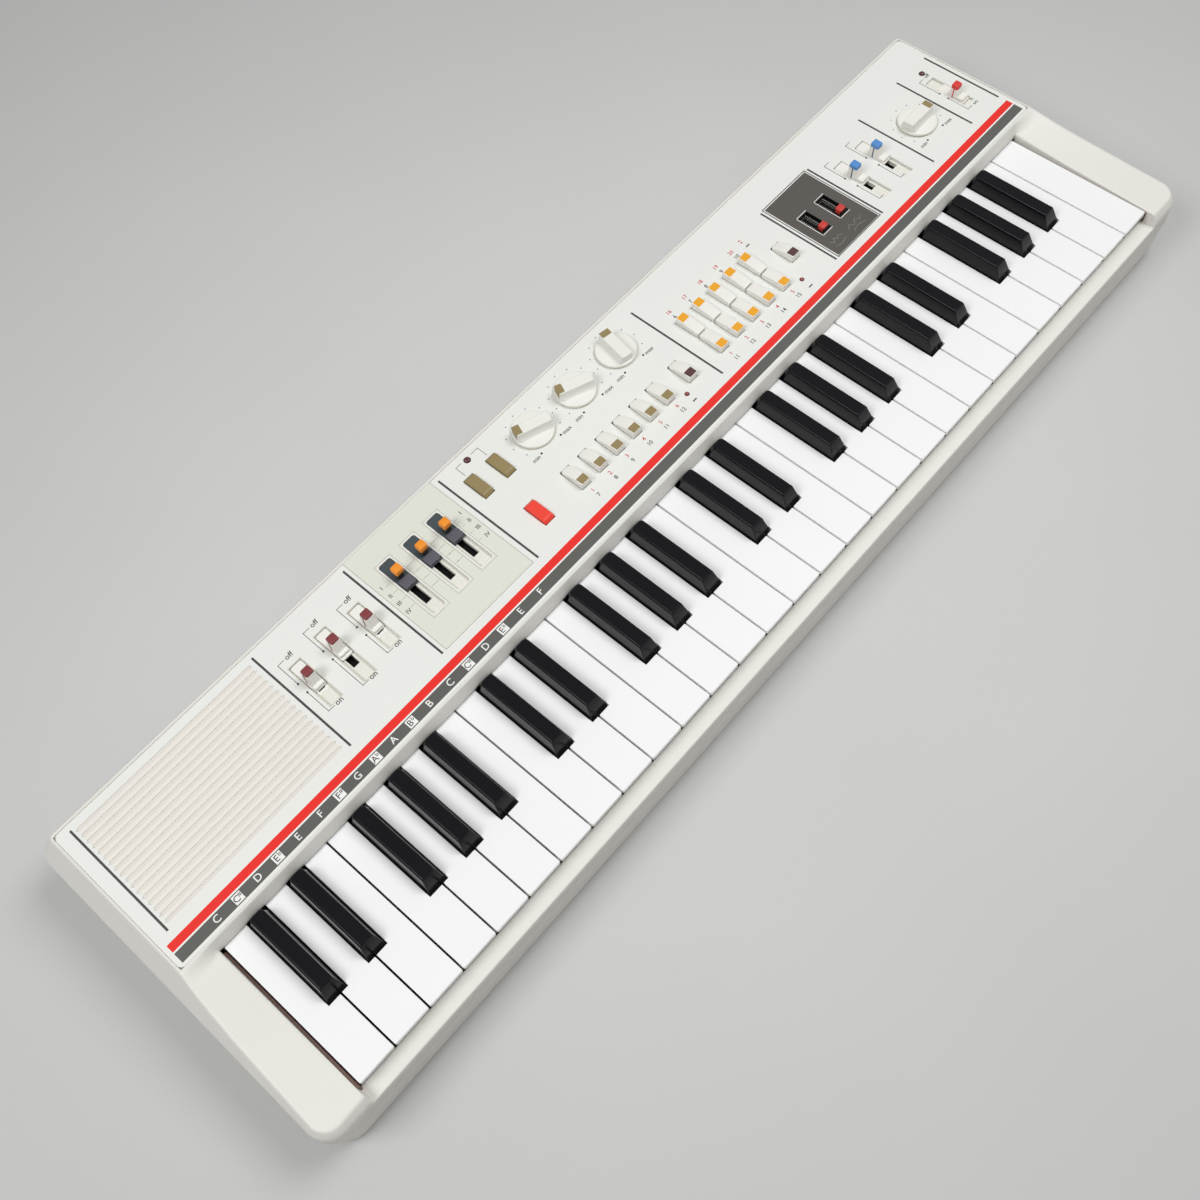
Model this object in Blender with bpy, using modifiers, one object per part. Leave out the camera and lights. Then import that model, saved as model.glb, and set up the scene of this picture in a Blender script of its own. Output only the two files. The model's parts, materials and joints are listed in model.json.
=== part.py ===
"""Portable keyboard with forty-nine small keys, as an assembly of separate pieces.

X runs along the keyboard to the player's right, Y to the rear, Z up. The origin is on the table
under the middle of the case. Every size is in metres.
"""

import math
from collections import namedtuple

import bmesh
import bpy
from mathutils import Matrix, Vector

# Case
CHEEK_WIDTH = 0.0246
CASE_DEPTH = 0.185
CASE_CORNER_RADIUS = 0.011
WALL = 0.0025
FOOT_HEIGHT = 0.002
FOOT_RADIUS = 0.008
FOOT_EDGE_X = 0.039
FOOT_EDGE_Y = 0.018
LOWER_DRAW_X = 0.004
LOWER_DRAW_Y = 0.002
SPLIT_Z = 0.0237
FLANK_START_Z = 0.036
CASE_TOP_Z = 0.0504
FLANK_SLOPE = 0.59
CORNER_STEPS = 4

# Panel deck and the printed plate that lies in it
PANEL_FRONT = 0.0837
PANEL_REAR_RIM = 0.0015
PANEL_SIDE_RIM = 0.001
PANEL_CORNER_RADIUS = 0.0023
PLATE_THICKNESS = 0.0012
PLATE_DEPTH = 0.0018
DECK_THICKNESS = 0.0024

# Keyboard
KEY_FRONT_Y = -0.0855
KEY_TOP_Z = 0.042
KEY_PITCH = 0.0195
WHITE_KEY_COUNT = 29
KEY_GAP = 0.0009
KEY_WALL = 0.0015
KEY_DEPTH = 0.011
WHITE_KEY_LENGTH = 0.097
WHITE_HINGE_DISTANCE = 0.094
WHITE_CORNER_RADIUS = 0.0015
KEY_LIP_DEPTH = 0.0026
KEY_LIP_THICKNESS = 0.003
KEY_BLOCK_START = 0.078
NOTCH_START = 0.0309
NOTCH_CLEARANCE = 0.00045
BLACK_WIDTH = 0.0098
BLACK_TOP_WIDTH = 0.0069
BLACK_HEIGHT = 0.008
BLACK_SKIRT = 0.009
BLACK_FRONT = 0.0319
BLACK_TOP_FRONT = 0.0357
BLACK_TOP_REAR = 0.0783
BLACK_REAR = 0.0799
BLACK_HINGE_DISTANCE = 0.101
BLACK_ARM_WIDTH = 0.007
BLACK_ARM_TOP_DROP = 0.003
HINGE_BAR_DEPTH = 0.005
HINGE_BAR_HEIGHT = 0.004
# Each black key's place beside the joint of its two white keys, by the white key on its left
BLACK_KEY_OFFSETS = {0: -0.0014, 1: 0.0014, 3: -0.002, 4: 0.0, 5: 0.002}
OCTAVE = 7

# Key well, front rail, end cheeks and the sloped lip behind the keys
WELL_SIDE_GAP = 0.00165
RAIL_REAR = 0.0016
WELL_REAR = 0.0805
WELL_WALL = 0.002
RAIL_DROP = 0.0087
LIP_CLEARANCE = 0.001
LIP_POCKET_END = 0.0824
LIP_POCKET_SLOPE = 0.002
LIP_POCKET_TOP_CLEARANCE = 0.0001

# Chassis under the keys
CHASSIS_SIDE_GAP = 0.0034
CHASSIS_FRONT = 0.0026
CHASSIS_REAR = 0.106
CHASSIS_THICKNESS = 0.002
CHASSIS_BOTTOM_Z = 0.0232
RIDGE_DEPTH = 0.004
GUIDE_Y = 0.012
GUIDE_WIDTH = 0.0024
GUIDE_DEPTH = 0.003
GUIDE_TOP_Z = 0.0345
CHASSIS_BOSS_RADIUS = 0.004
CHASSIS_BOSS_SPACING = 0.130
CHASSIS_BOSS_ROWS = (0.018, 0.086)

# Battery compartment for six cells in two rows
BATTERY_LENGTH = 0.152
BATTERY_FRONT = 0.110
BATTERY_WIDTH = 0.056
BATTERY_TOP_Z = 0.029
BATTERY_WALL = 0.002
COVER_MARGIN = 0.004
COVER_THICKNESS = 0.0011

# Main board
BOARD_MARGIN = 0.003
BOARD_FRONT = 0.1045
BOARD_REAR = 0.1655
BOARD_TOP_Z = 0.0376
BOARD_THICKNESS = 0.0016
SWITCH_BODY_WIDTH = 0.008
SWITCH_BODY_LENGTH = 0.026
POT_SIZE = 0.016
CONTACT_SIZE = 0.006
POST_RADIUS = 0.003
SCREW_BOSS_RADIUS = 0.004
SCREW_BOSS_EDGE = 0.012
CHEEK_BOSS_EDGE = 0.0111
SPEAKER_BOSS_EDGE = 0.008

# Loudspeaker and the slots over it
SPEAKER_X = -0.24105
SPEAKER_Y = 0.133
SPEAKER_RADIUS = 0.033
SPEAKER_HEIGHT = 0.028
MAGNET_RADIUS = 0.020
CONE_MIDDLE_RADIUS = 0.0084
CONE_MIDDLE_DEPTH = 0.0112
CONE_DEPTH = 0.0126
SURROUND_WIDTH = 0.002
SURROUND_DEPTH = 0.0022
FRAME_EDGE = 0.002
FRAME_EDGE_INSET = 0.0033
BASKET_RADIUS = 0.0182
BASKET_DEPTH = 0.0162
SOUND_RADIUS = 0.028
SLOT_COUNT = 17
SLOT_PITCH = 0.003675
SLOT_LENGTH = 0.0985
SLOT_WIDTH = 0.0017
SLIT_WIDTH = 0.0009

# Controls
CLEARANCE = 0.0003
STEM_WIDTH = 0.0032
STEM_LENGTH = 0.0046
STEM_PLAY = 0.0006
STEM_DEPTH = 0.001
SWITCH_WIDTH = 0.007
SLIDER_WIDTH = 0.0079
JOINED = 0.0004
FLANGE_THICKNESS = 0.002
FLANGE_LAP = 0.0015
BUTTON_TRAVEL = 0.0012
KNOB_RADIUS = 0.0106
KNOB_SKIRT_HEIGHT = 0.0016
KNOB_HEIGHT = 0.0072
KNOB_GRIP_WIDTH = 0.0065
KNOB_GRIP_LENGTH = 0.019
KNOB_STEM_RADIUS = 0.003
KNOB_PLAY = 0.0005
KNOB_STEM_LIFT = 0.0001
KNOB_GRIP_CORNER = 0.0011
LAMP_RISE = 0.0003
SLIDER_CAP_TAPER = 0.0004
BUTTON_PITCH = 0.0122
BUTTON_WIDTH = 0.0058
BUTTON_LOW = 0.0004
BUTTON_HIGH = 0.004
RHYTHM_BUTTON_COUNT = 6
RHYTHM_BUTTON_X = -0.0264
RHYTHM_BUTTON_Y = 0.1163
RHYTHM_BUTTON_LENGTH = 0.0143
RHYTHM_SELECT_X = 0.0516
TONE_COLUMN_COUNT = 5
TONE_BUTTON_X = 0.075
TONE_REAR_Y = 0.1307
TONE_FRONT_Y = 0.1157
TONE_BUTTON_LENGTH = 0.0141
TONE_SELECT_X = 0.1412
TONE_SELECT_Y = 0.1235
LOW_BUTTON_RISE = 0.0018
LOW_BUTTON_SLOPE = 0.0015

# Worked out from the sizes above
DECK_TOP_Z = CASE_TOP_Z - PLATE_DEPTH
DECK_BOTTOM_Z = DECK_TOP_Z - DECK_THICKNESS
PLATE_BOTTOM_Z = DECK_TOP_Z + CLEARANCE
PLATE_TOP_Z = PLATE_BOTTOM_Z + PLATE_THICKNESS
KEY_BOTTOM_Z = KEY_TOP_Z - KEY_DEPTH
RAIL_Z = KEY_TOP_Z - RAIL_DROP
KEYBOARD_HALF = WHITE_KEY_COUNT * KEY_PITCH / 2
WELL_HALF = KEYBOARD_HALF + WELL_SIDE_GAP
CASE_LENGTH = 2 * (WELL_HALF + CHEEK_WIDTH)
UPPER_BOTTOM_Z = SPLIT_Z + CLEARANCE
FLOOR_TOP_Z = FOOT_HEIGHT + WALL
LIP_BOTTOM_Z = KEY_TOP_Z + LIP_CLEARANCE
CHASSIS_TOP_Z = CHASSIS_BOTTOM_Z + CHASSIS_THICKNESS
CHASSIS_HALF = WELL_HALF - CHASSIS_SIDE_GAP
TOP_HALF_X = CASE_LENGTH / 2 - (CASE_TOP_Z - FLANK_START_Z) * FLANK_SLOPE
TOP_HALF_Y = CASE_DEPTH / 2 - (CASE_TOP_Z - FLANK_START_Z) * FLANK_SLOPE
FLANGE_TOP_Z = DECK_BOTTOM_Z - CLEARANCE
BEYOND = 0.01


Slider = namedtuple("Slider", "name x cap_y travel recess block cap width")

# Distances along Y in these lists run back from the front of the white keys
CHORD_CAP = (0.0047, 0.0046, 0.009)
VARIATION_CAP = (0.0049, 0.0047, 0.008)
EFFECT_CAP = (0.0043, 0.0050, 0.008)
FIELD_CAP = (0.0050, 0.0042, 0.003)
POWER_CAP = (0.0044, 0.0041, 0.0075)
# Front and rear end of the recesses in the plate, and of the blocks that slide in them
CHORD_RECESS = (0.1210, 0.1482)
CHORD_BLOCK = (0.1306, 0.1478)
MODE_RECESS = (0.1180, 0.1510)
MODE_BLOCK = (0.1324, 0.1506)
VARIATION_RECESS = (0.1170, 0.1540)
VARIATION_BLOCK = (0.1350, 0.1536)
FIELD_RECESS = (0.1157, 0.1317)
FIELD_BLOCK = (0.1161, 0.1210)
EFFECT_RECESS = (0.1060, 0.1386)
EFFECT_BLOCK = (0.1198, 0.1382)
POWER_RECESS = (0.1100, 0.1365)
POWER_BLOCK = (0.1125, 0.1290)
# Name, X, place of the cap and its travel
SLIDER_ROWS = (
    ("manual_bass_switch", -0.1779, 0.1369, -0.005, CHORD_RECESS, CHORD_BLOCK, CHORD_CAP, SWITCH_WIDTH),
    ("chord_mode_switch", -0.1599, 0.1398, -0.010, MODE_RECESS, MODE_BLOCK, CHORD_CAP, SWITCH_WIDTH),
    ("arpeggio_switch", -0.1418, 0.1369, -0.005, CHORD_RECESS, CHORD_BLOCK, CHORD_CAP, SWITCH_WIDTH),
    ("bass_slider", -0.1166, 0.1434, -0.016, VARIATION_RECESS, VARIATION_BLOCK, VARIATION_CAP, SLIDER_WIDTH),
    ("chord_slider", -0.1009, 0.1434, -0.016, VARIATION_RECESS, VARIATION_BLOCK, VARIATION_CAP, SLIDER_WIDTH),
    ("arpeggio_slider", -0.0855, 0.1434, -0.016, VARIATION_RECESS, VARIATION_BLOCK, VARIATION_CAP,
     SLIDER_WIDTH),
    ("field_switch_left", 0.1660, 0.1185, 0.010, FIELD_RECESS, FIELD_BLOCK, FIELD_CAP, SWITCH_WIDTH),
    ("field_switch_right", 0.1805, 0.1185, 0.010, FIELD_RECESS, FIELD_BLOCK, FIELD_CAP, SWITCH_WIDTH),
    ("effect_switch_left", 0.2048, 0.1277, -0.010, EFFECT_RECESS, EFFECT_BLOCK, EFFECT_CAP, SWITCH_WIDTH),
    ("effect_switch_right", 0.2232, 0.1277, -0.010, EFFECT_RECESS, EFFECT_BLOCK, EFFECT_CAP, SWITCH_WIDTH),
    ("power_switch", 0.2840, 0.1198, 0.005, POWER_RECESS, POWER_BLOCK, POWER_CAP, SWITCH_WIDTH),
)
SLIDERS = [Slider(*row) for row in SLIDER_ROWS]
BOARD_LEFT = min(slider.x for slider in SLIDERS) - SWITCH_BODY_WIDTH / 2 - BOARD_MARGIN
BOARD_RIGHT = max(slider.x for slider in SLIDERS) + SWITCH_BODY_WIDTH / 2 + BOARD_MARGIN
# Name, X, Y and the angle of the pointer, counted from +X towards +Y
KNOBS = (
    ("tempo_knob", -0.0199, 0.1495, math.radians(160)),
    ("accompaniment_knob", 0.0103, 0.1495, math.radians(158)),
    ("rhythm_knob", 0.0404, 0.1495, math.radians(80)),
    ("volume_knob", 0.2547, 0.1236, math.radians(0)),
)
# Name, X, Y, width and length of the three low buttons
LOW_BUTTONS = (
    ("start_button", -0.05875, 0.1483, 0.0059, 0.0146),
    ("synchro_button", -0.0439, 0.1483, 0.0059, 0.0146),
    ("fill_in_button", -0.05125, 0.11665, 0.0061, 0.0141),
)
# X, Y and radius
LAMPS = (
    (-0.0519, 0.1628, 0.0016),
    (0.2859, 0.1426, 0.0015),
    (0.0429, 0.1062, 0.0010),
    (0.1327, 0.1062, 0.0010),
)
# Posts that hold the board, and bosses that join the two case halves, as X and Y
BOARD_POSTS = ((-0.168, 0.112), (-0.168, 0.160), (-0.005, 0.132), (0.062, 0.156), (0.152, 0.142),
               (0.242, 0.158), (0.238, 0.109))
PANEL_BOSS_X = CASE_LENGTH / 2 - SCREW_BOSS_EDGE
CHEEK_BOSS_X = WELL_HALF + CHEEK_BOSS_EDGE
SPEAKER_BOSS_X = SPEAKER_X + SPEAKER_RADIUS + SPEAKER_BOSS_EDGE
PANEL_BOSSES = ((-PANEL_BOSS_X, 0.150), (SPEAKER_BOSS_X, 0.160), (PANEL_BOSS_X, 0.150))
CHEEK_BOSSES = ((-CHEEK_BOSS_X, 0.010), (CHEEK_BOSS_X, 0.010))
# The cheek's top: distance from the key fronts, rise of its inner and of its outer edge over the keys
CHEEK_LINE = (
    (-0.010, -0.0016, -0.0025),
    (0.000, -0.0012, -0.0017),
    (0.050, 0.0005, 0.0022),
    (0.066, 0.0016, 0.0043),
    (0.0805, 0.0028, 0.0074),
    (0.0829, 0.0084, 0.0084),
)


def stem_slot(slider):
    """Front and rear end of the slot in the deck that a slide control's stem runs in."""
    ends = (slider.cap_y, slider.cap_y + slider.travel)
    reach = STEM_LENGTH / 2 + STEM_PLAY
    return min(ends) - reach, max(ends) + reach


def from_front(distance):
    """Y of a place that is a distance behind the front of the white keys."""
    return KEY_FRONT_Y + distance


def empty_scene():
    """Removes every object that the file starts with."""
    for existing in list(bpy.data.objects):
        bpy.data.objects.remove(existing, do_unlink=True)


def make_collection(name):
    """Links a new collection to the scene."""
    collection = bpy.data.collections.new(name)
    bpy.context.scene.collection.children.link(collection)
    return collection


def make_material(name, color, roughness, metallic=0.0):
    """A plain surface with its colour, roughness and metallic value."""
    material = bpy.data.materials.new(name)
    material.use_nodes = True
    shader = material.node_tree.nodes["Principled BSDF"]
    shader.inputs["Base Color"].default_value = (*color, 1.0)
    shader.inputs["Roughness"].default_value = roughness
    shader.inputs["Metallic"].default_value = metallic
    return material


def add_box(shape, low, high):
    """Adds a box between two corners."""
    low = Vector(low)
    high = Vector(high)
    matrix = Matrix.Translation((low + high) / 2) @ Matrix.Diagonal((*(high - low), 1.0))
    bmesh.ops.create_cube(shape, size=1.0, matrix=matrix)


def add_cylinder(shape, x, y, z_low, z_high, radius, sides=20):
    """Adds an upright cylinder."""
    matrix = Matrix.Translation((x, y, (z_low + z_high) / 2))
    bmesh.ops.create_cone(shape, cap_ends=True, segments=sides, radius1=radius, radius2=radius,
                          depth=z_high - z_low, matrix=matrix)


def add_loft(shape, rings):
    """Joins rings of equally many points, each counter-clockwise seen from the next, and caps them."""
    rows = [[shape.verts.new(point) for point in ring] for ring in rings]
    count = len(rows[0])
    for lower, upper in zip(rows, rows[1:]):
        for index in range(count):
            following = (index + 1) % count
            shape.faces.new((lower[index], lower[following], upper[following], upper[index]))
    shape.faces.new(list(reversed(rows[0])))
    shape.faces.new(rows[-1])


def rounded_ring(low, high, radius, z, steps=CORNER_STEPS):
    """A rectangle with round corners at one height, counter-clockwise from above."""
    centers = (
        (high[0] - radius, high[1] - radius),
        (low[0] + radius, high[1] - radius),
        (low[0] + radius, low[1] + radius),
        (high[0] - radius, low[1] + radius),
    )
    ring = []
    for quarter, (center_x, center_y) in enumerate(centers):
        for step in range(steps + 1):
            angle = (quarter + step / steps) * math.pi / 2
            ring.append((center_x + radius * math.cos(angle), center_y + radius * math.sin(angle), z))
    return ring


def upper_ring(z, inset):
    """The upper case's outline at a height, drawn in by an inset. It flares below the top."""
    flare = max(0.0, z - FLANK_START_Z) * FLANK_SLOPE
    half_x = CASE_LENGTH / 2 - flare - inset
    half_y = CASE_DEPTH / 2 - flare - inset
    return rounded_ring((-half_x, -half_y), (half_x, half_y), CASE_CORNER_RADIUS - flare - inset, z)


def lower_ring(z, inset):
    """The lower case's outline at a height, drawn in by an inset. Its walls lean in to the floor."""
    share = (SPLIT_Z - z) / (SPLIT_Z - FOOT_HEIGHT)
    half_x = CASE_LENGTH / 2 - LOWER_DRAW_X * share - inset
    half_y = CASE_DEPTH / 2 - LOWER_DRAW_Y * share - inset
    radius = CASE_CORNER_RADIUS - LOWER_DRAW_Y * share - inset
    return rounded_ring((-half_x, -half_y), (half_x, half_y), radius, z)


def make_mesh(name, shape, origin):
    """Turns a shape in world coordinates into a mesh around its origin."""
    bmesh.ops.translate(shape, verts=shape.verts, vec=-Vector(origin))
    mesh = bpy.data.meshes.new(name)
    shape.to_mesh(mesh)
    shape.free()
    return mesh


def make_tool(collection, name, shape):
    """An object that only cuts or joins another one."""
    tool = bpy.data.objects.new(name, make_mesh(name, shape, (0, 0, 0)))
    tool.hide_render = True
    tool.display_type = "WIRE"
    collection.objects.link(tool)
    return tool


def make_piece(collection, name, shape, material, origin=(0, 0, 0)):
    """A named piece of the keyboard with its own material, around its origin."""
    piece = bpy.data.objects.new(name, make_mesh(name, shape, origin))
    piece.location = origin
    piece.data.materials.append(material)
    collection.objects.link(piece)
    return piece


def combine(target, tool, operation):
    """Cuts a tool out of a target, or joins it on."""
    modifier = target.modifiers.new(tool.name, "BOOLEAN")
    modifier.solver = "EXACT"
    modifier.operation = operation
    modifier.object = tool


def cheek_section(distance, inner_rise, outer_rise, drop):
    """Cross section, at one distance, of all that lies over the cheeks and the lip."""
    outer_z = KEY_TOP_Z + outer_rise
    outer_x = TOP_HALF_X + (CASE_TOP_Z - outer_z) * FLANK_SLOPE
    far_x = CASE_LENGTH / 2 + BEYOND
    slope = (outer_rise - inner_rise) / (outer_x - WELL_HALF)
    inner_z = KEY_TOP_Z + inner_rise - drop
    far_z = inner_z + slope * (far_x - WELL_HALF)
    top_z = CASE_TOP_Z + 2 * BEYOND
    y = from_front(distance)
    return [(-far_x, y, top_z), (far_x, y, top_z), (far_x, y, far_z), (WELL_HALF, y, inner_z),
            (-WELL_HALF, y, inner_z), (-far_x, y, far_z)]


def add_relief(shape, drop):
    """Adds what is cut away over the cheeks, or, lowered by a drop, their underside."""
    first = (CHEEK_LINE[0][0] - BEYOND, CHEEK_LINE[0][1], CHEEK_LINE[0][2])
    before = CHEEK_LINE[-2]
    end = CHEEK_LINE[-1]
    past = [end_value + (end_value - value) / 2 for value, end_value in zip(before, end)]
    rows = [first, *CHEEK_LINE, past]
    add_loft(shape, [cheek_section(*row, drop) for row in rows])
    bmesh.ops.triangulate(shape, faces=shape.faces)


def control_openings():
    """Low and high corner of each opening that the plate has, and of the deck's where it is as wide."""
    openings = []
    for name, x, y, width, length in LOW_BUTTONS:
        openings.append(opening_around(x, y, width, length))
    for x in rhythm_button_places():
        openings.append(opening_around(x, RHYTHM_BUTTON_Y, BUTTON_WIDTH, RHYTHM_BUTTON_LENGTH))
    for x, y in tone_button_places():
        openings.append(opening_around(x, y, BUTTON_WIDTH, TONE_BUTTON_LENGTH))
    return openings


def opening_around(x, y, width, length):
    """Corners of an opening that clears a button."""
    reach_x = width / 2 + CLEARANCE
    reach_y = length / 2 + CLEARANCE
    return (x - reach_x, from_front(y) - reach_y), (x + reach_x, from_front(y) + reach_y)


def rhythm_button_places():
    """X of the rhythm buttons and of their select button."""
    places = [RHYTHM_BUTTON_X + BUTTON_PITCH * index for index in range(RHYTHM_BUTTON_COUNT)]
    return [*places, RHYTHM_SELECT_X]


def tone_button_places():
    """X and Y of the tone buttons and of their select button."""
    columns = [TONE_BUTTON_X + BUTTON_PITCH * index for index in range(TONE_COLUMN_COUNT)]
    places = [(x, y) for x in columns for y in (TONE_REAR_Y, TONE_FRONT_Y)]
    return [*places, (TONE_SELECT_X, TONE_SELECT_Y)]


def slot_places():
    """Y of the slots over the loudspeaker."""
    first = from_front(SPEAKER_Y) - SLOT_PITCH * (SLOT_COUNT - 1) / 2
    return [first + SLOT_PITCH * index for index in range(SLOT_COUNT)]


def build_upper_case(parts, cutters, material):
    """The flared shell with its cheeks, rail, key well, lip, deck, posts and bosses."""
    shell = bmesh.new()
    heights = (UPPER_BOTTOM_Z, FLANK_START_Z, CASE_TOP_Z)
    add_loft(shell, [upper_ring(z, 0.0) for z in heights])
    case = make_piece(parts, "upper_case", shell, material)

    relief = bmesh.new()
    add_relief(relief, 0.0)
    combine(case, make_tool(cutters, "cheek_relief", relief), "DIFFERENCE")

    inside = bmesh.new()
    slant = WALL * math.hypot(1.0, FLANK_SLOPE)
    add_loft(inside, [upper_ring(UPPER_BOTTOM_Z - BEYOND, WALL), upper_ring(FLANK_START_Z, WALL),
                      upper_ring(DECK_BOTTOM_Z, slant)])
    hollow = make_tool(cutters, "case_hollow", inside)
    lowered = bmesh.new()
    add_relief(lowered, WALL)
    combine(hollow, make_tool(cutters, "cheek_underside", lowered), "DIFFERENCE")
    kept = bmesh.new()
    kept_half = WELL_HALF + WELL_WALL
    add_box(kept, (-kept_half, -CASE_DEPTH, -BEYOND),
            (kept_half, from_front(WELL_REAR) - WELL_WALL / 2, CASE_TOP_Z + BEYOND))
    combine(hollow, make_tool(cutters, "well_surround", kept), "DIFFERENCE")
    combine(case, hollow, "DIFFERENCE")

    well = bmesh.new()
    add_box(well, (-WELL_HALF, from_front(RAIL_REAR), 0.0),
            (WELL_HALF, from_front(WELL_REAR), CASE_TOP_Z + BEYOND))
    combine(case, make_tool(cutters, "key_well", well), "DIFFERENCE")
    over_rail = bmesh.new()
    add_box(over_rail, (-WELL_HALF, -CASE_DEPTH, RAIL_Z),
            (WELL_HALF, from_front(RAIL_REAR + KEY_WALL), CASE_TOP_Z + BEYOND))
    combine(case, make_tool(cutters, "rail_relief", over_rail), "DIFFERENCE")
    under_rail = bmesh.new()
    add_box(under_rail, (-WELL_HALF, -CASE_DEPTH / 2 + WALL, UPPER_BOTTOM_Z - BEYOND),
            (WELL_HALF, from_front(RAIL_REAR) - WELL_WALL, RAIL_Z - WALL))
    combine(case, make_tool(cutters, "rail_hollow", under_rail), "DIFFERENCE")

    pocket = bmesh.new()
    profile = ((WELL_REAR - WELL_WALL, 0.0), (PANEL_FRONT + LIP_POCKET_SLOPE, 0.0),
               (PANEL_FRONT + LIP_POCKET_SLOPE, DECK_BOTTOM_Z - LIP_POCKET_TOP_CLEARANCE),
               (LIP_POCKET_END + LIP_POCKET_SLOPE, DECK_BOTTOM_Z - LIP_POCKET_TOP_CLEARANCE),
               (LIP_POCKET_END, LIP_BOTTOM_Z), (WELL_REAR - WELL_WALL, LIP_BOTTOM_Z))
    add_loft(pocket, [[(x, from_front(distance), z) for distance, z in profile]
                      for x in (-WELL_HALF - WELL_WALL / 2, WELL_HALF + WELL_WALL / 2)])
    bmesh.ops.recalc_face_normals(pocket, faces=pocket.faces)
    combine(case, make_tool(cutters, "lip_pocket", pocket), "DIFFERENCE")

    supports = bmesh.new()
    in_deck = DECK_BOTTOM_Z + JOINED
    for x, y in BOARD_POSTS:
        add_cylinder(supports, x, from_front(y), BOARD_TOP_Z + CLEARANCE, in_deck, POST_RADIUS, 12)
    for x, y in PANEL_BOSSES:
        add_cylinder(supports, x, from_front(y), UPPER_BOTTOM_Z, in_deck, SCREW_BOSS_RADIUS, 12)
    for x, y in CHEEK_BOSSES:
        add_cylinder(supports, x, from_front(y), UPPER_BOTTOM_Z, KEY_TOP_Z - WALL, SCREW_BOSS_RADIUS, 12)
    combine(case, make_tool(cutters, "posts_and_bosses", supports), "UNION")

    recess = bmesh.new()
    low = (-TOP_HALF_X + PANEL_SIDE_RIM, from_front(PANEL_FRONT))
    high = (TOP_HALF_X - PANEL_SIDE_RIM, TOP_HALF_Y - PANEL_REAR_RIM)
    add_loft(recess, [rounded_ring(low, high, PANEL_CORNER_RADIUS, z, 2)
                      for z in (DECK_TOP_Z, CASE_TOP_Z + BEYOND)])
    combine(case, make_tool(cutters, "plate_recess", recess), "DIFFERENCE")

    holes = bmesh.new()
    low_z = DECK_BOTTOM_Z - DECK_THICKNESS
    high_z = CASE_TOP_Z
    for low, high in control_openings():
        add_box(holes, (*low, low_z), (*high, high_z))
    slot_half = STEM_WIDTH / 2 + CLEARANCE
    for slider in SLIDERS:
        front, rear = stem_slot(slider)
        add_box(holes, (slider.x - slot_half, from_front(front), low_z),
                (slider.x + slot_half, from_front(rear), high_z))
    for name, x, y, angle in KNOBS:
        add_cylinder(holes, x, from_front(y), low_z, high_z, KNOB_STEM_RADIUS + KNOB_PLAY, 16)
    for x, y, radius in LAMPS:
        add_cylinder(holes, x, from_front(y), low_z, high_z, radius + CLEARANCE, 12)
    for y in slot_places():
        chord = SOUND_RADIUS ** 2 - (y - from_front(SPEAKER_Y)) ** 2
        if chord > SLOT_PITCH ** 2:
            half = math.sqrt(chord)
            add_box(holes, (SPEAKER_X - half, y - SLOT_WIDTH / 2, low_z),
                    (SPEAKER_X + half, y - SLOT_WIDTH / 2 + SLIT_WIDTH, high_z))
    combine(case, make_tool(cutters, "deck_holes", holes), "DIFFERENCE")


def build_lower_case(parts, cutters, material):
    """The tub with its feet, bosses and battery compartment."""
    tub = bmesh.new()
    add_loft(tub, [lower_ring(FOOT_HEIGHT, 0.0), lower_ring(SPLIT_Z, 0.0)])
    case = make_piece(parts, "lower_case", tub, material)
    inside = bmesh.new()
    add_loft(inside, [lower_ring(FLOOR_TOP_Z, WALL), lower_ring(SPLIT_Z + WALL, WALL)])
    combine(case, make_tool(cutters, "tub_hollow", inside), "DIFFERENCE")

    added = bmesh.new()
    in_floor = FOOT_HEIGHT + WALL / 2
    for x in (-1, 1):
        for y in (-1, 1):
            add_cylinder(added, x * (CASE_LENGTH / 2 - FOOT_EDGE_X), y * (CASE_DEPTH / 2 - FOOT_EDGE_Y),
                         0.0, in_floor - CLEARANCE, FOOT_RADIUS)
    for step in range(-2, 3):
        for y in CHASSIS_BOSS_ROWS:
            add_cylinder(added, step * CHASSIS_BOSS_SPACING, from_front(y), in_floor,
                         CHASSIS_BOTTOM_Z - CLEARANCE, CHASSIS_BOSS_RADIUS, 12)
    for x, y in (*PANEL_BOSSES, *CHEEK_BOSSES):
        add_cylinder(added, x, from_front(y), in_floor, SPLIT_Z, SCREW_BOSS_RADIUS, 12)
    half = BATTERY_LENGTH / 2
    rear = BATTERY_FRONT + BATTERY_WIDTH
    add_box(added, (-half - BATTERY_WALL, from_front(BATTERY_FRONT - BATTERY_WALL), in_floor),
            (half + BATTERY_WALL, from_front(rear + BATTERY_WALL), BATTERY_TOP_Z + BATTERY_WALL))
    combine(case, make_tool(cutters, "feet_bosses_and_box", added), "UNION")

    opened = bmesh.new()
    add_box(opened, (-half, from_front(BATTERY_FRONT), -BEYOND), (half, from_front(rear), BATTERY_TOP_Z))
    combine(case, make_tool(cutters, "battery_space", opened), "DIFFERENCE")
    track = bmesh.new()
    reach = half + COVER_MARGIN
    add_box(track, (-reach, from_front(BATTERY_FRONT - COVER_MARGIN), -BEYOND),
            (reach, CASE_DEPTH, FOOT_HEIGHT + COVER_THICKNESS + CLEARANCE))
    combine(case, make_tool(cutters, "cover_track", track), "DIFFERENCE")


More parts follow.
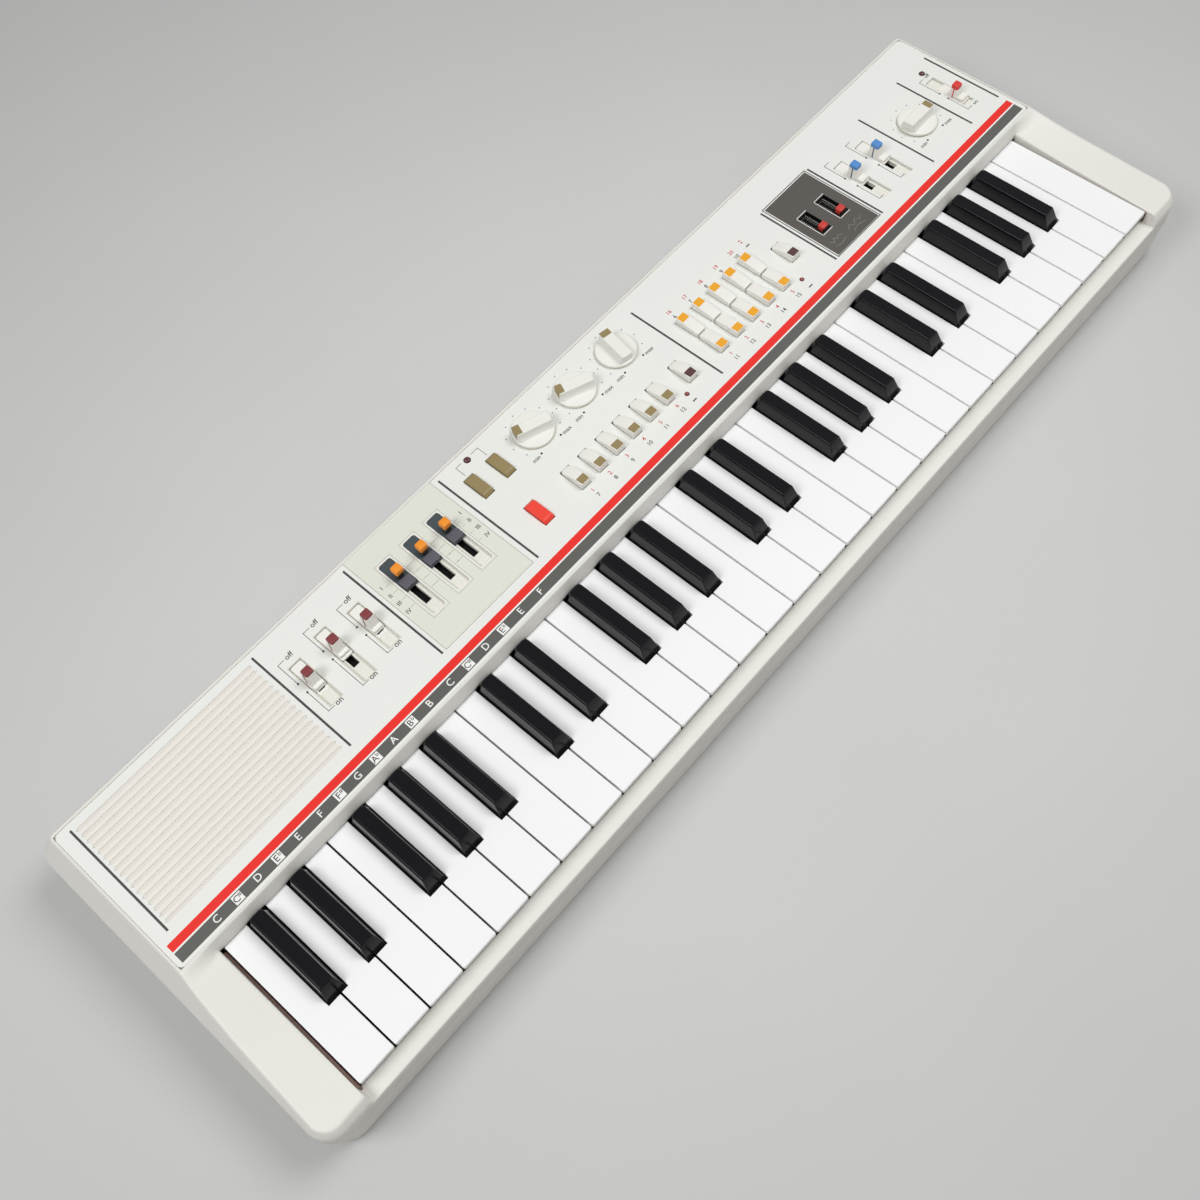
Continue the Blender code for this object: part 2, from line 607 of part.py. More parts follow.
def build_battery_cover(parts, material):
    """The flat cover under the batteries, which slides out to the rear."""
    cover = bmesh.new()
    half = BATTERY_LENGTH / 2 + COVER_MARGIN - CLEARANCE
    front = from_front(BATTERY_FRONT - COVER_MARGIN) + CLEARANCE
    rear = CASE_DEPTH / 2 - LOWER_DRAW_Y - CLEARANCE
    add_box(cover, (-half, front, FOOT_HEIGHT), (half, rear, FOOT_HEIGHT + COVER_THICKNESS))
    make_piece(parts, "battery_cover", cover, material, (0, (front + rear) / 2, FOOT_HEIGHT))


def build_panel_plate(parts, cutters, material):
    """The thin plate in the deck, with slots, recesses, windows and holes."""
    sheet = bmesh.new()
    rim = CLEARANCE
    low = (-TOP_HALF_X + PANEL_SIDE_RIM + rim, from_front(PANEL_FRONT) + rim)
    high = (TOP_HALF_X - PANEL_SIDE_RIM - rim, TOP_HALF_Y - PANEL_REAR_RIM - rim)
    add_loft(sheet, [rounded_ring(low, high, PANEL_CORNER_RADIUS - rim, z, 2)
                     for z in (PLATE_BOTTOM_Z, PLATE_TOP_Z)])
    plate = make_piece(parts, "control_panel_plate", sheet, material)

    holes = bmesh.new()
    low_z = PLATE_BOTTOM_Z - PLATE_THICKNESS
    high_z = PLATE_TOP_Z + PLATE_THICKNESS
    for low, high in control_openings():
        add_box(holes, (*low, low_z), (*high, high_z))
    for slider in SLIDERS:
        half = slider.width / 2
        front, rear = slider.recess
        add_box(holes, (slider.x - half, from_front(front), low_z),
                (slider.x + half, from_front(rear), high_z))
    for name, x, y, angle in KNOBS:
        add_cylinder(holes, x, from_front(y), low_z, high_z, KNOB_STEM_RADIUS + KNOB_PLAY, 16)
    for x, y, radius in LAMPS:
        add_cylinder(holes, x, from_front(y), low_z, high_z, radius + CLEARANCE, 12)
    for y in slot_places():
        add_box(holes, (SPEAKER_X - SLOT_LENGTH / 2, y - SLOT_WIDTH / 2, low_z),
                (SPEAKER_X + SLOT_LENGTH / 2, y + SLOT_WIDTH / 2, high_z))
    combine(plate, make_tool(cutters, "plate_holes", holes), "DIFFERENCE")


def build_chassis(parts, cutters, material):
    """The tray with two pivot ridges and a guide tongue for each white key."""
    tray = bmesh.new()
    add_box(tray, (-CHASSIS_HALF, from_front(CHASSIS_FRONT), CHASSIS_BOTTOM_Z),
            (CHASSIS_HALF, from_front(CHASSIS_REAR), CHASSIS_TOP_Z))
    chassis = make_piece(parts, "key_chassis", tray, material)
    raised = bmesh.new()
    in_tray = CHASSIS_TOP_Z - CHASSIS_THICKNESS / 2
    for distance in (WHITE_HINGE_DISTANCE, BLACK_HINGE_DISTANCE):
        add_box(raised, (-CHASSIS_HALF + KEY_WALL, from_front(distance) - RIDGE_DEPTH / 2, in_tray),
                (CHASSIS_HALF - KEY_WALL, from_front(distance) + RIDGE_DEPTH / 2,
                 KEY_BOTTOM_Z - CLEARANCE))
    for index in range(WHITE_KEY_COUNT):
        x = white_key_left(index) + KEY_PITCH / 2
        y = from_front(GUIDE_Y)
        add_box(raised, (x - GUIDE_WIDTH / 2, y - GUIDE_DEPTH / 2, in_tray),
                (x + GUIDE_WIDTH / 2, y + GUIDE_DEPTH / 2, GUIDE_TOP_Z))
    combine(chassis, make_tool(cutters, "ridges_and_guides", raised), "UNION")


def white_key_left(index):
    """X of the left boundary of a white key."""
    return -KEYBOARD_HALF + KEY_PITCH * index


def black_key_at(boundary):
    """X of the black key over the right boundary of a white key, or None where there is none."""
    if boundary < 0 or boundary >= WHITE_KEY_COUNT - 1:
        return None
    note = boundary % OCTAVE
    if note not in BLACK_KEY_OFFSETS:
        return None
    return white_key_left(boundary + 1) + BLACK_KEY_OFFSETS[note]


def build_white_key(parts, cutters, index, material):
    """A white key: a block with a lip in front and notches for the black keys, hollowed from below."""
    left = white_key_left(index) + KEY_GAP / 2
    right = left + KEY_PITCH - KEY_GAP
    notch = BLACK_WIDTH / 2 + NOTCH_CLEARANCE
    black_left = black_key_at(index - 1)
    black_right = black_key_at(index)
    tail_left = left if black_left is None else black_left + notch
    tail_right = right if black_right is None else black_right - notch
    front = KEY_FRONT_Y
    step_y = from_front(NOTCH_START)
    rear = from_front(WHITE_KEY_LENGTH)
    corner = rounded_ring((left, front), (right, rear), WHITE_CORNER_RADIUS, 0.0, 2)
    front_points = [(x, y) for x, y, z in corner if y < front + 2 * WHITE_CORNER_RADIUS]
    outline = list(front_points)
    if black_right is not None:
        outline += [(right, step_y), (tail_right, step_y)]
    outline += [(tail_right, rear), (tail_left, rear)]
    if black_left is not None:
        outline += [(tail_left, step_y), (left, step_y)]
    block = bmesh.new()
    add_loft(block, [[(x, y, z) for x, y in outline] for z in (KEY_BOTTOM_Z, KEY_TOP_Z)])
    origin = ((left + right) / 2, from_front(WHITE_HINGE_DISTANCE), KEY_BOTTOM_Z)
    name = f"white_key_{index + 1:02d}"
    key = make_piece(parts, name, block, material, origin)

    pockets = bmesh.new()
    lip_rear = front + KEY_LIP_DEPTH
    add_box(pockets, (left - KEY_GAP, front - KEY_WALL, KEY_BOTTOM_Z - KEY_WALL),
            (right + KEY_GAP, lip_rear, KEY_TOP_Z - KEY_LIP_THICKNESS))
    add_box(pockets, (left + KEY_WALL, lip_rear + KEY_WALL, KEY_BOTTOM_Z - KEY_WALL),
            (right - KEY_WALL, step_y - KEY_WALL, KEY_TOP_Z - KEY_WALL))
    add_box(pockets, (tail_left + KEY_WALL, step_y + KEY_WALL, KEY_BOTTOM_Z - KEY_WALL),
            (tail_right - KEY_WALL, from_front(KEY_BLOCK_START), KEY_TOP_Z - KEY_WALL))
    combine(key, make_tool(cutters, name + "_pockets", pockets), "DIFFERENCE")


def build_black_keys(parts, cutters, octave, material):
    """The five black keys of an octave, moulded on one hinge bar."""
    boundaries = [octave * OCTAVE + note for note in BLACK_KEY_OFFSETS]
    places = [black_key_at(boundary) for boundary in boundaries]
    half = BLACK_WIDTH / 2
    top_half = BLACK_TOP_WIDTH / 2
    skirt_z = KEY_TOP_Z - BLACK_SKIRT
    hinge_y = from_front(BLACK_HINGE_DISTANCE)
    bar_front = hinge_y - HINGE_BAR_DEPTH / 2
    bar_rear = hinge_y + HINGE_BAR_DEPTH / 2
    bar = bmesh.new()
    add_box(bar, (places[0] - half, bar_front, KEY_BOTTOM_Z),
            (places[-1] + half, bar_rear, KEY_BOTTOM_Z + HINGE_BAR_HEIGHT))
    name = f"black_keys_octave_{octave + 1}"
    origin = ((places[0] + places[-1]) / 2, hinge_y, KEY_BOTTOM_Z)
    comb = make_piece(parts, name, bar, material, origin)

    bodies = bmesh.new()
    arms = bmesh.new()
    for x in places:
        sections = (
            (half, BLACK_FRONT, BLACK_REAR, skirt_z),
            (half, BLACK_FRONT, BLACK_REAR, KEY_TOP_Z),
            (top_half, BLACK_TOP_FRONT, BLACK_TOP_REAR, KEY_TOP_Z + BLACK_HEIGHT),
        )
        rings = []
        for reach, front, rear, z in sections:
            rings.append([(x - reach, from_front(front), z), (x + reach, from_front(front), z),
                          (x + reach, from_front(rear), z), (x - reach, from_front(rear), z)])
        add_loft(bodies, rings)
        add_box(arms, (x - BLACK_ARM_WIDTH / 2, from_front(BLACK_TOP_REAR), skirt_z + CLEARANCE),
                (x + BLACK_ARM_WIDTH / 2, bar_rear - CLEARANCE, KEY_TOP_Z - BLACK_ARM_TOP_DROP))
    combine(comb, make_tool(cutters, name + "_arms", arms), "UNION")
    combine(comb, make_tool(cutters, name + "_keys", bodies), "UNION")


def build_slider(parts, cutters, slider, material):
    """A slide control: a flat block in the plate's recess, a cap on it and a stem through the deck."""
    front, rear = slider.block
    half = slider.width / 2 - CLEARANCE
    width, length, height = slider.cap
    y = from_front(slider.cap_y)
    block = bmesh.new()
    add_box(block, (slider.x - half, from_front(front), PLATE_BOTTOM_Z),
            (slider.x + half, from_front(rear), PLATE_TOP_Z))
    piece = make_piece(parts, slider.name, block, material, (slider.x, y, PLATE_TOP_Z))
    added = bmesh.new()
    in_block = PLATE_TOP_Z - JOINED
    rings = []
    for z, taper in ((in_block, -SLIDER_CAP_TAPER / 2), (PLATE_TOP_Z + height, SLIDER_CAP_TAPER)):
        reach_x = width / 2 - taper
        reach_y = length / 2 - taper
        rings.append([(slider.x - reach_x, y - reach_y, z), (slider.x + reach_x, y - reach_y, z),
                      (slider.x + reach_x, y + reach_y, z), (slider.x - reach_x, y + reach_y, z)])
    add_loft(added, rings)
    add_box(added, (slider.x - STEM_WIDTH / 2, y - STEM_LENGTH / 2, DECK_BOTTOM_Z - STEM_DEPTH),
            (slider.x + STEM_WIDTH / 2, y + STEM_LENGTH / 2, in_block - JOINED))
    combine(piece, make_tool(cutters, slider.name + "_cap_and_stem", added), "UNION")


def build_knob(parts, cutters, name, x, distance, angle, material):
    """A knob: skirt, grip across it and stem."""
    y = from_front(distance)
    skirt_z = PLATE_TOP_Z + CLEARANCE
    skirt_top = skirt_z + KNOB_SKIRT_HEIGHT
    skirt = bmesh.new()
    add_cylinder(skirt, x, y, skirt_z, skirt_top, KNOB_RADIUS, 32)
    knob = make_piece(parts, name, skirt, material, (x, y, skirt_z))
    added = bmesh.new()
    reach = KNOB_GRIP_LENGTH / 2
    half = KNOB_GRIP_WIDTH / 2
    turn = Matrix.Translation((x, y, 0)) @ Matrix.Rotation(angle, 4, "Z")
    grip_low = rounded_ring((-reach, -half), (reach, half), KNOB_GRIP_CORNER, skirt_top - JOINED, 1)
    grip_top = rounded_ring((-reach, -half), (reach, half), KNOB_GRIP_CORNER, skirt_z + KNOB_HEIGHT, 1)
    add_loft(added, [[turn @ Vector(point) for point in ring] for ring in (grip_low, grip_top)])
    add_cylinder(added, x, y, FLANGE_TOP_Z - KNOB_STEM_LIFT, skirt_z + JOINED,
                 KNOB_STEM_RADIUS, 16)
    combine(knob, make_tool(cutters, name + "_grip_and_stem", added), "UNION")


def add_button_cap(shape, x, distance, width, profile):
    """Adds a cap whose side view is a profile of distances along Y and heights."""
    y = from_front(distance)
    rings = []
    for side in (-1, 1):
        rings.append([(x + side * width / 2, y + offset, z) for offset, z in profile])
    add_loft(shape, rings)


def wedge_profile(length, high_end):
    """Side view of a button that rises towards one end: -1 the front, 1 the rear."""
    reach = length / 2
    bottom_z = FLANGE_TOP_Z - JOINED
    heights = {-high_end: PLATE_TOP_Z + BUTTON_LOW, high_end: PLATE_TOP_Z + BUTTON_HIGH}
    return [(-reach, bottom_z), (reach, bottom_z), (reach, heights[1]), (-reach, heights[-1])]


def low_profile(length):
    """Side view of a low button with sloped ends."""
    reach = length / 2
    bottom_z = FLANGE_TOP_Z - JOINED
    return [(-reach, bottom_z), (reach, bottom_z), (reach, PLATE_TOP_Z + BUTTON_LOW),
            (reach - LOW_BUTTON_SLOPE, PLATE_TOP_Z + LOW_BUTTON_RISE),
            (-reach + LOW_BUTTON_SLOPE, PLATE_TOP_Z + LOW_BUTTON_RISE),
            (-reach, PLATE_TOP_Z + BUTTON_LOW)]


def build_low_button(parts, cutters, name, x, distance, width, length, material):
    """A push button with a flange under the deck."""
    y = from_front(distance)
    flange = bmesh.new()
    reach_x = width / 2 + FLANGE_LAP
    reach_y = length / 2 + FLANGE_LAP
    add_box(flange, (x - reach_x, y - reach_y, FLANGE_TOP_Z - FLANGE_THICKNESS),
            (x + reach_x, y + reach_y, FLANGE_TOP_Z))
    button = make_piece(parts, name, flange, material, (x, y, FLANGE_TOP_Z))
    cap = bmesh.new()
    add_button_cap(cap, x, distance, width, low_profile(length))
    combine(button, make_tool(cutters, name + "_cap", cap), "UNION")


def build_button_strip(parts, cutters, name, places, length, high_ends, material):
    """A row of buttons on one web under the deck."""
    xs = [x for x, y in places]
    ys = [from_front(y) for x, y in places]
    web = bmesh.new()
    reach_x = BUTTON_WIDTH / 2 + FLANGE_LAP
    reach_y = length / 2 - FLANGE_LAP
    add_box(web, (min(xs) - reach_x, min(ys) - reach_y, FLANGE_TOP_Z - FLANGE_THICKNESS),
            (max(xs) + reach_x, max(ys) + reach_y, FLANGE_TOP_Z))
    center = ((min(xs) + max(xs)) / 2, (min(ys) + max(ys)) / 2, FLANGE_TOP_Z)
    strip = make_piece(parts, name, web, material, center)
    caps = bmesh.new()
    for (x, y), high_end in zip(places, high_ends):
        add_button_cap(caps, x, y, BUTTON_WIDTH, wedge_profile(length, high_end))
    combine(strip, make_tool(cutters, name + "_caps", caps), "UNION")


def build_main_board(parts, cutters, material):
    """The circuit board with its switch bodies, potentiometers, button contacts and lamps."""
    sheet = bmesh.new()
    add_box(sheet, (BOARD_LEFT, from_front(BOARD_FRONT), BOARD_TOP_Z - BOARD_THICKNESS),
            (BOARD_RIGHT, from_front(BOARD_REAR), BOARD_TOP_Z))
    board = make_piece(parts, "main_board", sheet, material)
    mounted = bmesh.new()
    base_z = BOARD_TOP_Z - BOARD_THICKNESS / 2
    switch_top = DECK_BOTTOM_Z - STEM_DEPTH - CLEARANCE
    for slider in SLIDERS:
        y = from_front(slider.cap_y + slider.travel / 2)
        add_box(mounted, (slider.x - SWITCH_BODY_WIDTH / 2, y - SWITCH_BODY_LENGTH / 2, base_z),
                (slider.x + SWITCH_BODY_WIDTH / 2, y + SWITCH_BODY_LENGTH / 2, switch_top))
    pot_top = FLANGE_TOP_Z - KNOB_STEM_LIFT - CLEARANCE
    for name, x, y, angle in KNOBS:
        add_box(mounted, (x - POT_SIZE / 2, from_front(y) - POT_SIZE / 2, base_z),
                (x + POT_SIZE / 2, from_front(y) + POT_SIZE / 2, pot_top))
    contact_top = FLANGE_TOP_Z - FLANGE_THICKNESS - BUTTON_TRAVEL - CLEARANCE
    contacts = [(x, y) for name, x, y, width, length in LOW_BUTTONS]
    contacts += [(x, RHYTHM_BUTTON_Y) for x in rhythm_button_places()]
    contacts += tone_button_places()
    for x, y in contacts:
        add_box(mounted, (x - CONTACT_SIZE / 2, from_front(y) - CONTACT_SIZE / 2, base_z),
                (x + CONTACT_SIZE / 2, from_front(y) + CONTACT_SIZE / 2, contact_top))
    for x, y, radius in LAMPS:
        add_cylinder(mounted, x, from_front(y), base_z, PLATE_TOP_Z + LAMP_RISE, radius, 12)
    combine(board, make_tool(cutters, "mounted_parts", mounted), "UNION")


def build_loudspeaker(parts, material):
    """The loudspeaker: frame, cone and magnet in one turned outline."""
    top_z = DECK_BOTTOM_Z - CLEARANCE
    outline = (
        (0.0, -CONE_MIDDLE_DEPTH),
        (CONE_MIDDLE_RADIUS, -CONE_DEPTH),
        (SOUND_RADIUS - SURROUND_WIDTH, -SURROUND_DEPTH),
        (SOUND_RADIUS + SURROUND_WIDTH, 0.0),
        (SPEAKER_RADIUS, 0.0),
        (SPEAKER_RADIUS, -FRAME_EDGE),
        (SPEAKER_RADIUS - FRAME_EDGE_INSET, -FRAME_EDGE - JOINED),
        (BASKET_RADIUS, -BASKET_DEPTH),
        (MAGNET_RADIUS, -BASKET_DEPTH),
        (MAGNET_RADIUS, -SPEAKER_HEIGHT),
        (0.0, -SPEAKER_HEIGHT),
    )
    mesh = bpy.data.meshes.new("loudspeaker")
    points = [(radius, 0.0, height) for radius, height in outline]
    mesh.from_pydata(points, [(index, index + 1) for index in range(len(points) - 1)], [])
    mesh.materials.append(material)
    speaker = bpy.data.objects.new("loudspeaker", mesh)
    speaker.location = (SPEAKER_X, from_front(SPEAKER_Y), top_z)
    parts.objects.link(speaker)
    turned = speaker.modifiers.new("turned", "SCREW")
    turned.steps = 28
    turned.render_steps = 28
    turned.use_merge_vertices = True
    turned.merge_threshold = 0.00001


def build_keyboard():
    """Builds every piece."""
    parts = make_collection("portable_keyboard")
    cutters = make_collection("cutters")
    shell_plastic = make_material("shell_plastic", (0.75, 0.75, 0.70), 0.45)
    base_plastic = make_material("base_plastic", (0.72, 0.72, 0.67), 0.5)
    plate_plastic = make_material("plate_plastic", (0.78, 0.79, 0.74), 0.4)
    board_green = make_material("board_green", (0.05, 0.2, 0.1), 0.5)
    chassis_grey = make_material("chassis_grey", (0.25, 0.25, 0.26), 0.6)
    speaker_paper = make_material("speaker_paper", (0.1, 0.1, 0.1), 0.8)

    build_lower_case(parts, cutters, base_plastic)
    build_battery_cover(parts, make_material("cover_plastic", (0.7, 0.7, 0.66), 0.5))
    build_upper_case(parts, cutters, shell_plastic)
    build_panel_plate(parts, cutters, plate_plastic)
    build_chassis(parts, cutters, chassis_grey)
    build_main_board(parts, cutters, board_green)
    build_loudspeaker(parts, speaker_paper)
    for index in range(WHITE_KEY_COUNT):
        ivory = make_material(f"white_key_plastic_{index + 1:02d}", (0.87, 0.87, 0.88), 0.3)
        build_white_key(parts, cutters, index, ivory)
    for octave in range((WHITE_KEY_COUNT - 1) // OCTAVE):
        ebony = make_material(f"black_key_plastic_{octave + 1}", (0.008, 0.007, 0.01), 0.2)
        build_black_keys(parts, cutters, octave, ebony)
    for slider in SLIDERS:
        build_slider(parts, cutters, slider, make_material(slider.name, (0.7, 0.65, 0.6), 0.45))
    for name, x, y, angle in KNOBS:
        build_knob(parts, cutters, name, x, y, angle, make_material(name, (0.8, 0.8, 0.75), 0.35))
    for name, x, y, width, length in LOW_BUTTONS:
        colored = make_material(name, (0.26, 0.2, 0.09), 0.45)
        build_low_button(parts, cutters, name, x, y, width, length, colored)
    rhythm = [(x, RHYTHM_BUTTON_Y) for x in rhythm_button_places()]
    build_button_strip(parts, cutters, "rhythm_button_strip", rhythm, RHYTHM_BUTTON_LENGTH,
                       [-1] * len(rhythm), make_material("rhythm_button_strip", (0.8, 0.8, 0.75), 0.4))
    tone = tone_button_places()
    high_ends = [1 if y == TONE_REAR_Y else -1 for x, y in tone]
    build_button_strip(parts, cutters, "tone_button_strip", tone, TONE_BUTTON_LENGTH,
                       high_ends, make_material("tone_button_strip", (0.8, 0.8, 0.75), 0.4))


empty_scene()
build_keyboard()
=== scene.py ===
"""Portable keyboard with small keys: the looks of every piece, the studio and the camera."""

from __future__ import annotations

import json
import logging
import math
from dataclasses import dataclass
from enum import Enum
from typing import Iterable, Sequence

import bmesh
import bpy
from mathutils import Matrix, Vector

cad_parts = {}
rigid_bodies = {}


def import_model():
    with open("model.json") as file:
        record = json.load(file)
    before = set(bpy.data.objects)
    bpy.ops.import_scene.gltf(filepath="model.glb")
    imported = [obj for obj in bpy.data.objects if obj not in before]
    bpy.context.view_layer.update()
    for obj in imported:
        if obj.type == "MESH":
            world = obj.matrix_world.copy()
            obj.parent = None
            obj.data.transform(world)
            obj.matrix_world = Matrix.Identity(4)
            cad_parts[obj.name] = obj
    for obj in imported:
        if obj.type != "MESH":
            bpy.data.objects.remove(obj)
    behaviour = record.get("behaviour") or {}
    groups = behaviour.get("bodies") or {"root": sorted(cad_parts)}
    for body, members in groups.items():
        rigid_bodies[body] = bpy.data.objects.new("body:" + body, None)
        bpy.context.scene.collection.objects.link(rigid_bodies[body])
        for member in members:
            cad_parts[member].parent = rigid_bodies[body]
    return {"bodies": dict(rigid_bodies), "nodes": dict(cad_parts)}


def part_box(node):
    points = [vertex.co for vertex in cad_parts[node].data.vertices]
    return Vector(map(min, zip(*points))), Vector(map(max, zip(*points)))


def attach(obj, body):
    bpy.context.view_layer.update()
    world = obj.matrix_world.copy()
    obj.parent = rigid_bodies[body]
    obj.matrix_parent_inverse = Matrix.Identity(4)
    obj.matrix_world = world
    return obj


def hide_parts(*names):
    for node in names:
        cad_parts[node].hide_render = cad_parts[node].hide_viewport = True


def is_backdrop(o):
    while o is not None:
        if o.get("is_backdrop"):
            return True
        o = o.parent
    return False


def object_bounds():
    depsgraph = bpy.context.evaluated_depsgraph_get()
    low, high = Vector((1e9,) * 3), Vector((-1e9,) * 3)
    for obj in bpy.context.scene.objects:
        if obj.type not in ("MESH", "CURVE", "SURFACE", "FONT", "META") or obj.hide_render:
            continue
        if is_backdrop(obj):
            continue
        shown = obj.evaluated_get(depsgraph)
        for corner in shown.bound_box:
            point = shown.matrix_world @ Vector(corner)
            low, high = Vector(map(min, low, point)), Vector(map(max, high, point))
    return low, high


LOG = logging.getLogger("keyboard")
MM = 0.001
CASE = "case"
PANEL = "control_panel_plate"
Point = tuple[float, float]
Place = tuple[float, float, float]
Color = tuple[float, float, float, float]
Shape = bmesh.types.BMesh


def linear(red: int, green: int, blue: int) -> Color:
    """Turns a colour of 0 to 255 as seen on a screen into linear light.

    Args:
        red: The red share.
        green: The green share.
        blue: The blue share.

    Returns:
        The colour as Blender's shaders take it.
    """
    shares = []
    for value in (red, green, blue):
        level = value / 255
        shares.append(level / 12.92 if level <= 0.04045 else ((level + 0.055) / 1.055) ** 2.4)
    return shares[0], shares[1], shares[2], 1.0


class Wiring:
    """Adds nodes to a node tree and joins them."""

    def __init__(self, tree: bpy.types.NodeTree) -> None:
        """Starts on a tree."""
        self.tree = tree

    def fill(self, node: bpy.types.Node, inputs: dict[str | int, object]) -> None:
        """Sets or joins the inputs of a node.

        Args:
            node: The node.
            inputs: What each input gets: a value, a socket, or a node whose first output in use it takes.
        """
        for name, value in inputs.items():
            if isinstance(value, bpy.types.Node):
                value = next(socket for socket in value.outputs if socket.enabled)
            if isinstance(value, bpy.types.NodeSocket):
                self.tree.links.new(value, node.inputs[name])
            else:
                node.inputs[name].default_value = value

    def add(self, kind: str, inputs: dict[str | int, object] | None = None,
            **settings: object) -> bpy.types.Node:
        """Adds a node.

        Args:
            kind: The node's type.
            inputs: What each input gets.
            settings: The node's own settings.

        Returns:
            The node.
        """
        node = self.tree.nodes.new(kind)
        for name, value in settings.items():
            setattr(node, name, value)
        self.fill(node, inputs or {})
        return node


@dataclass(frozen=True)
class Finish:
    """A moulded, printed or coated surface, with the small unevenness that the real one has."""

    name: str
    color: Color
    roughness: float = 0.42
    mottle: float = 0.03
    mottle_size: float = 30 * MM
    grain: float = 0.05
    grain_size: float = 0.5 * MM
    grain_height: float = 0.1 * MM
    edge: float = 0.0
    coat: float = 0.0
    coat_roughness: float = 0.12
    metallic: float = 0.0
    specular: float = 0.5

    def material(self) -> bpy.types.Material:
        """Builds the material, or finds it if it was built before.

        Returns:
            The procedural material of this finish.
        """
        known = bpy.data.materials.get(self.name)
        if known is not None:
            return known
        material = bpy.data.materials.new(self.name)
        material.use_nodes = True
        wiring = Wiring(material.node_tree)
        place = wiring.add("ShaderNodeTexCoord").outputs["Object"]
        patches = wiring.add("ShaderNodeTexNoise", {
            "Scale": 1.0 / self.mottle_size, "Detail": 4.0, "Vector": place})
        darker = [channel * (1.0 - 2.0 * self.mottle) for channel in self.color[:3]]
        lighter = [min(1.0, channel * (1.0 + self.mottle)) for channel in self.color[:3]]
        shade = wiring.add("ShaderNodeMix", {
            "A": (*darker, 1.0), "B": (*lighter, 1.0), "Factor": patches}, data_type="RGBA")
        polish = wiring.add("ShaderNodeMapRange", {
            "To Min": self.roughness * 0.9, "To Max": min(1.0, self.roughness * 1.12), "Value": patches})
        texture = wiring.add("ShaderNodeTexNoise", {
            "Scale": 1.0 / self.grain_size, "Detail": 2.0, "Vector": place})
        bump = wiring.add("ShaderNodeBump", {
            "Strength": self.grain, "Distance": self.grain_height, "Height": texture})
        if self.edge > 0:
            wiring.fill(bump, {"Normal": wiring.add("ShaderNodeBevel", {"Radius": self.edge}, samples=4)})
        wiring.fill(material.node_tree.nodes["Principled BSDF"], {
            "Metallic": self.metallic, "Specular IOR Level": self.specular, "Coat Weight": self.coat,
            "Coat Roughness": self.coat_roughness, "Base Color": shade, "Roughness": polish, "Normal": bump})
        return material


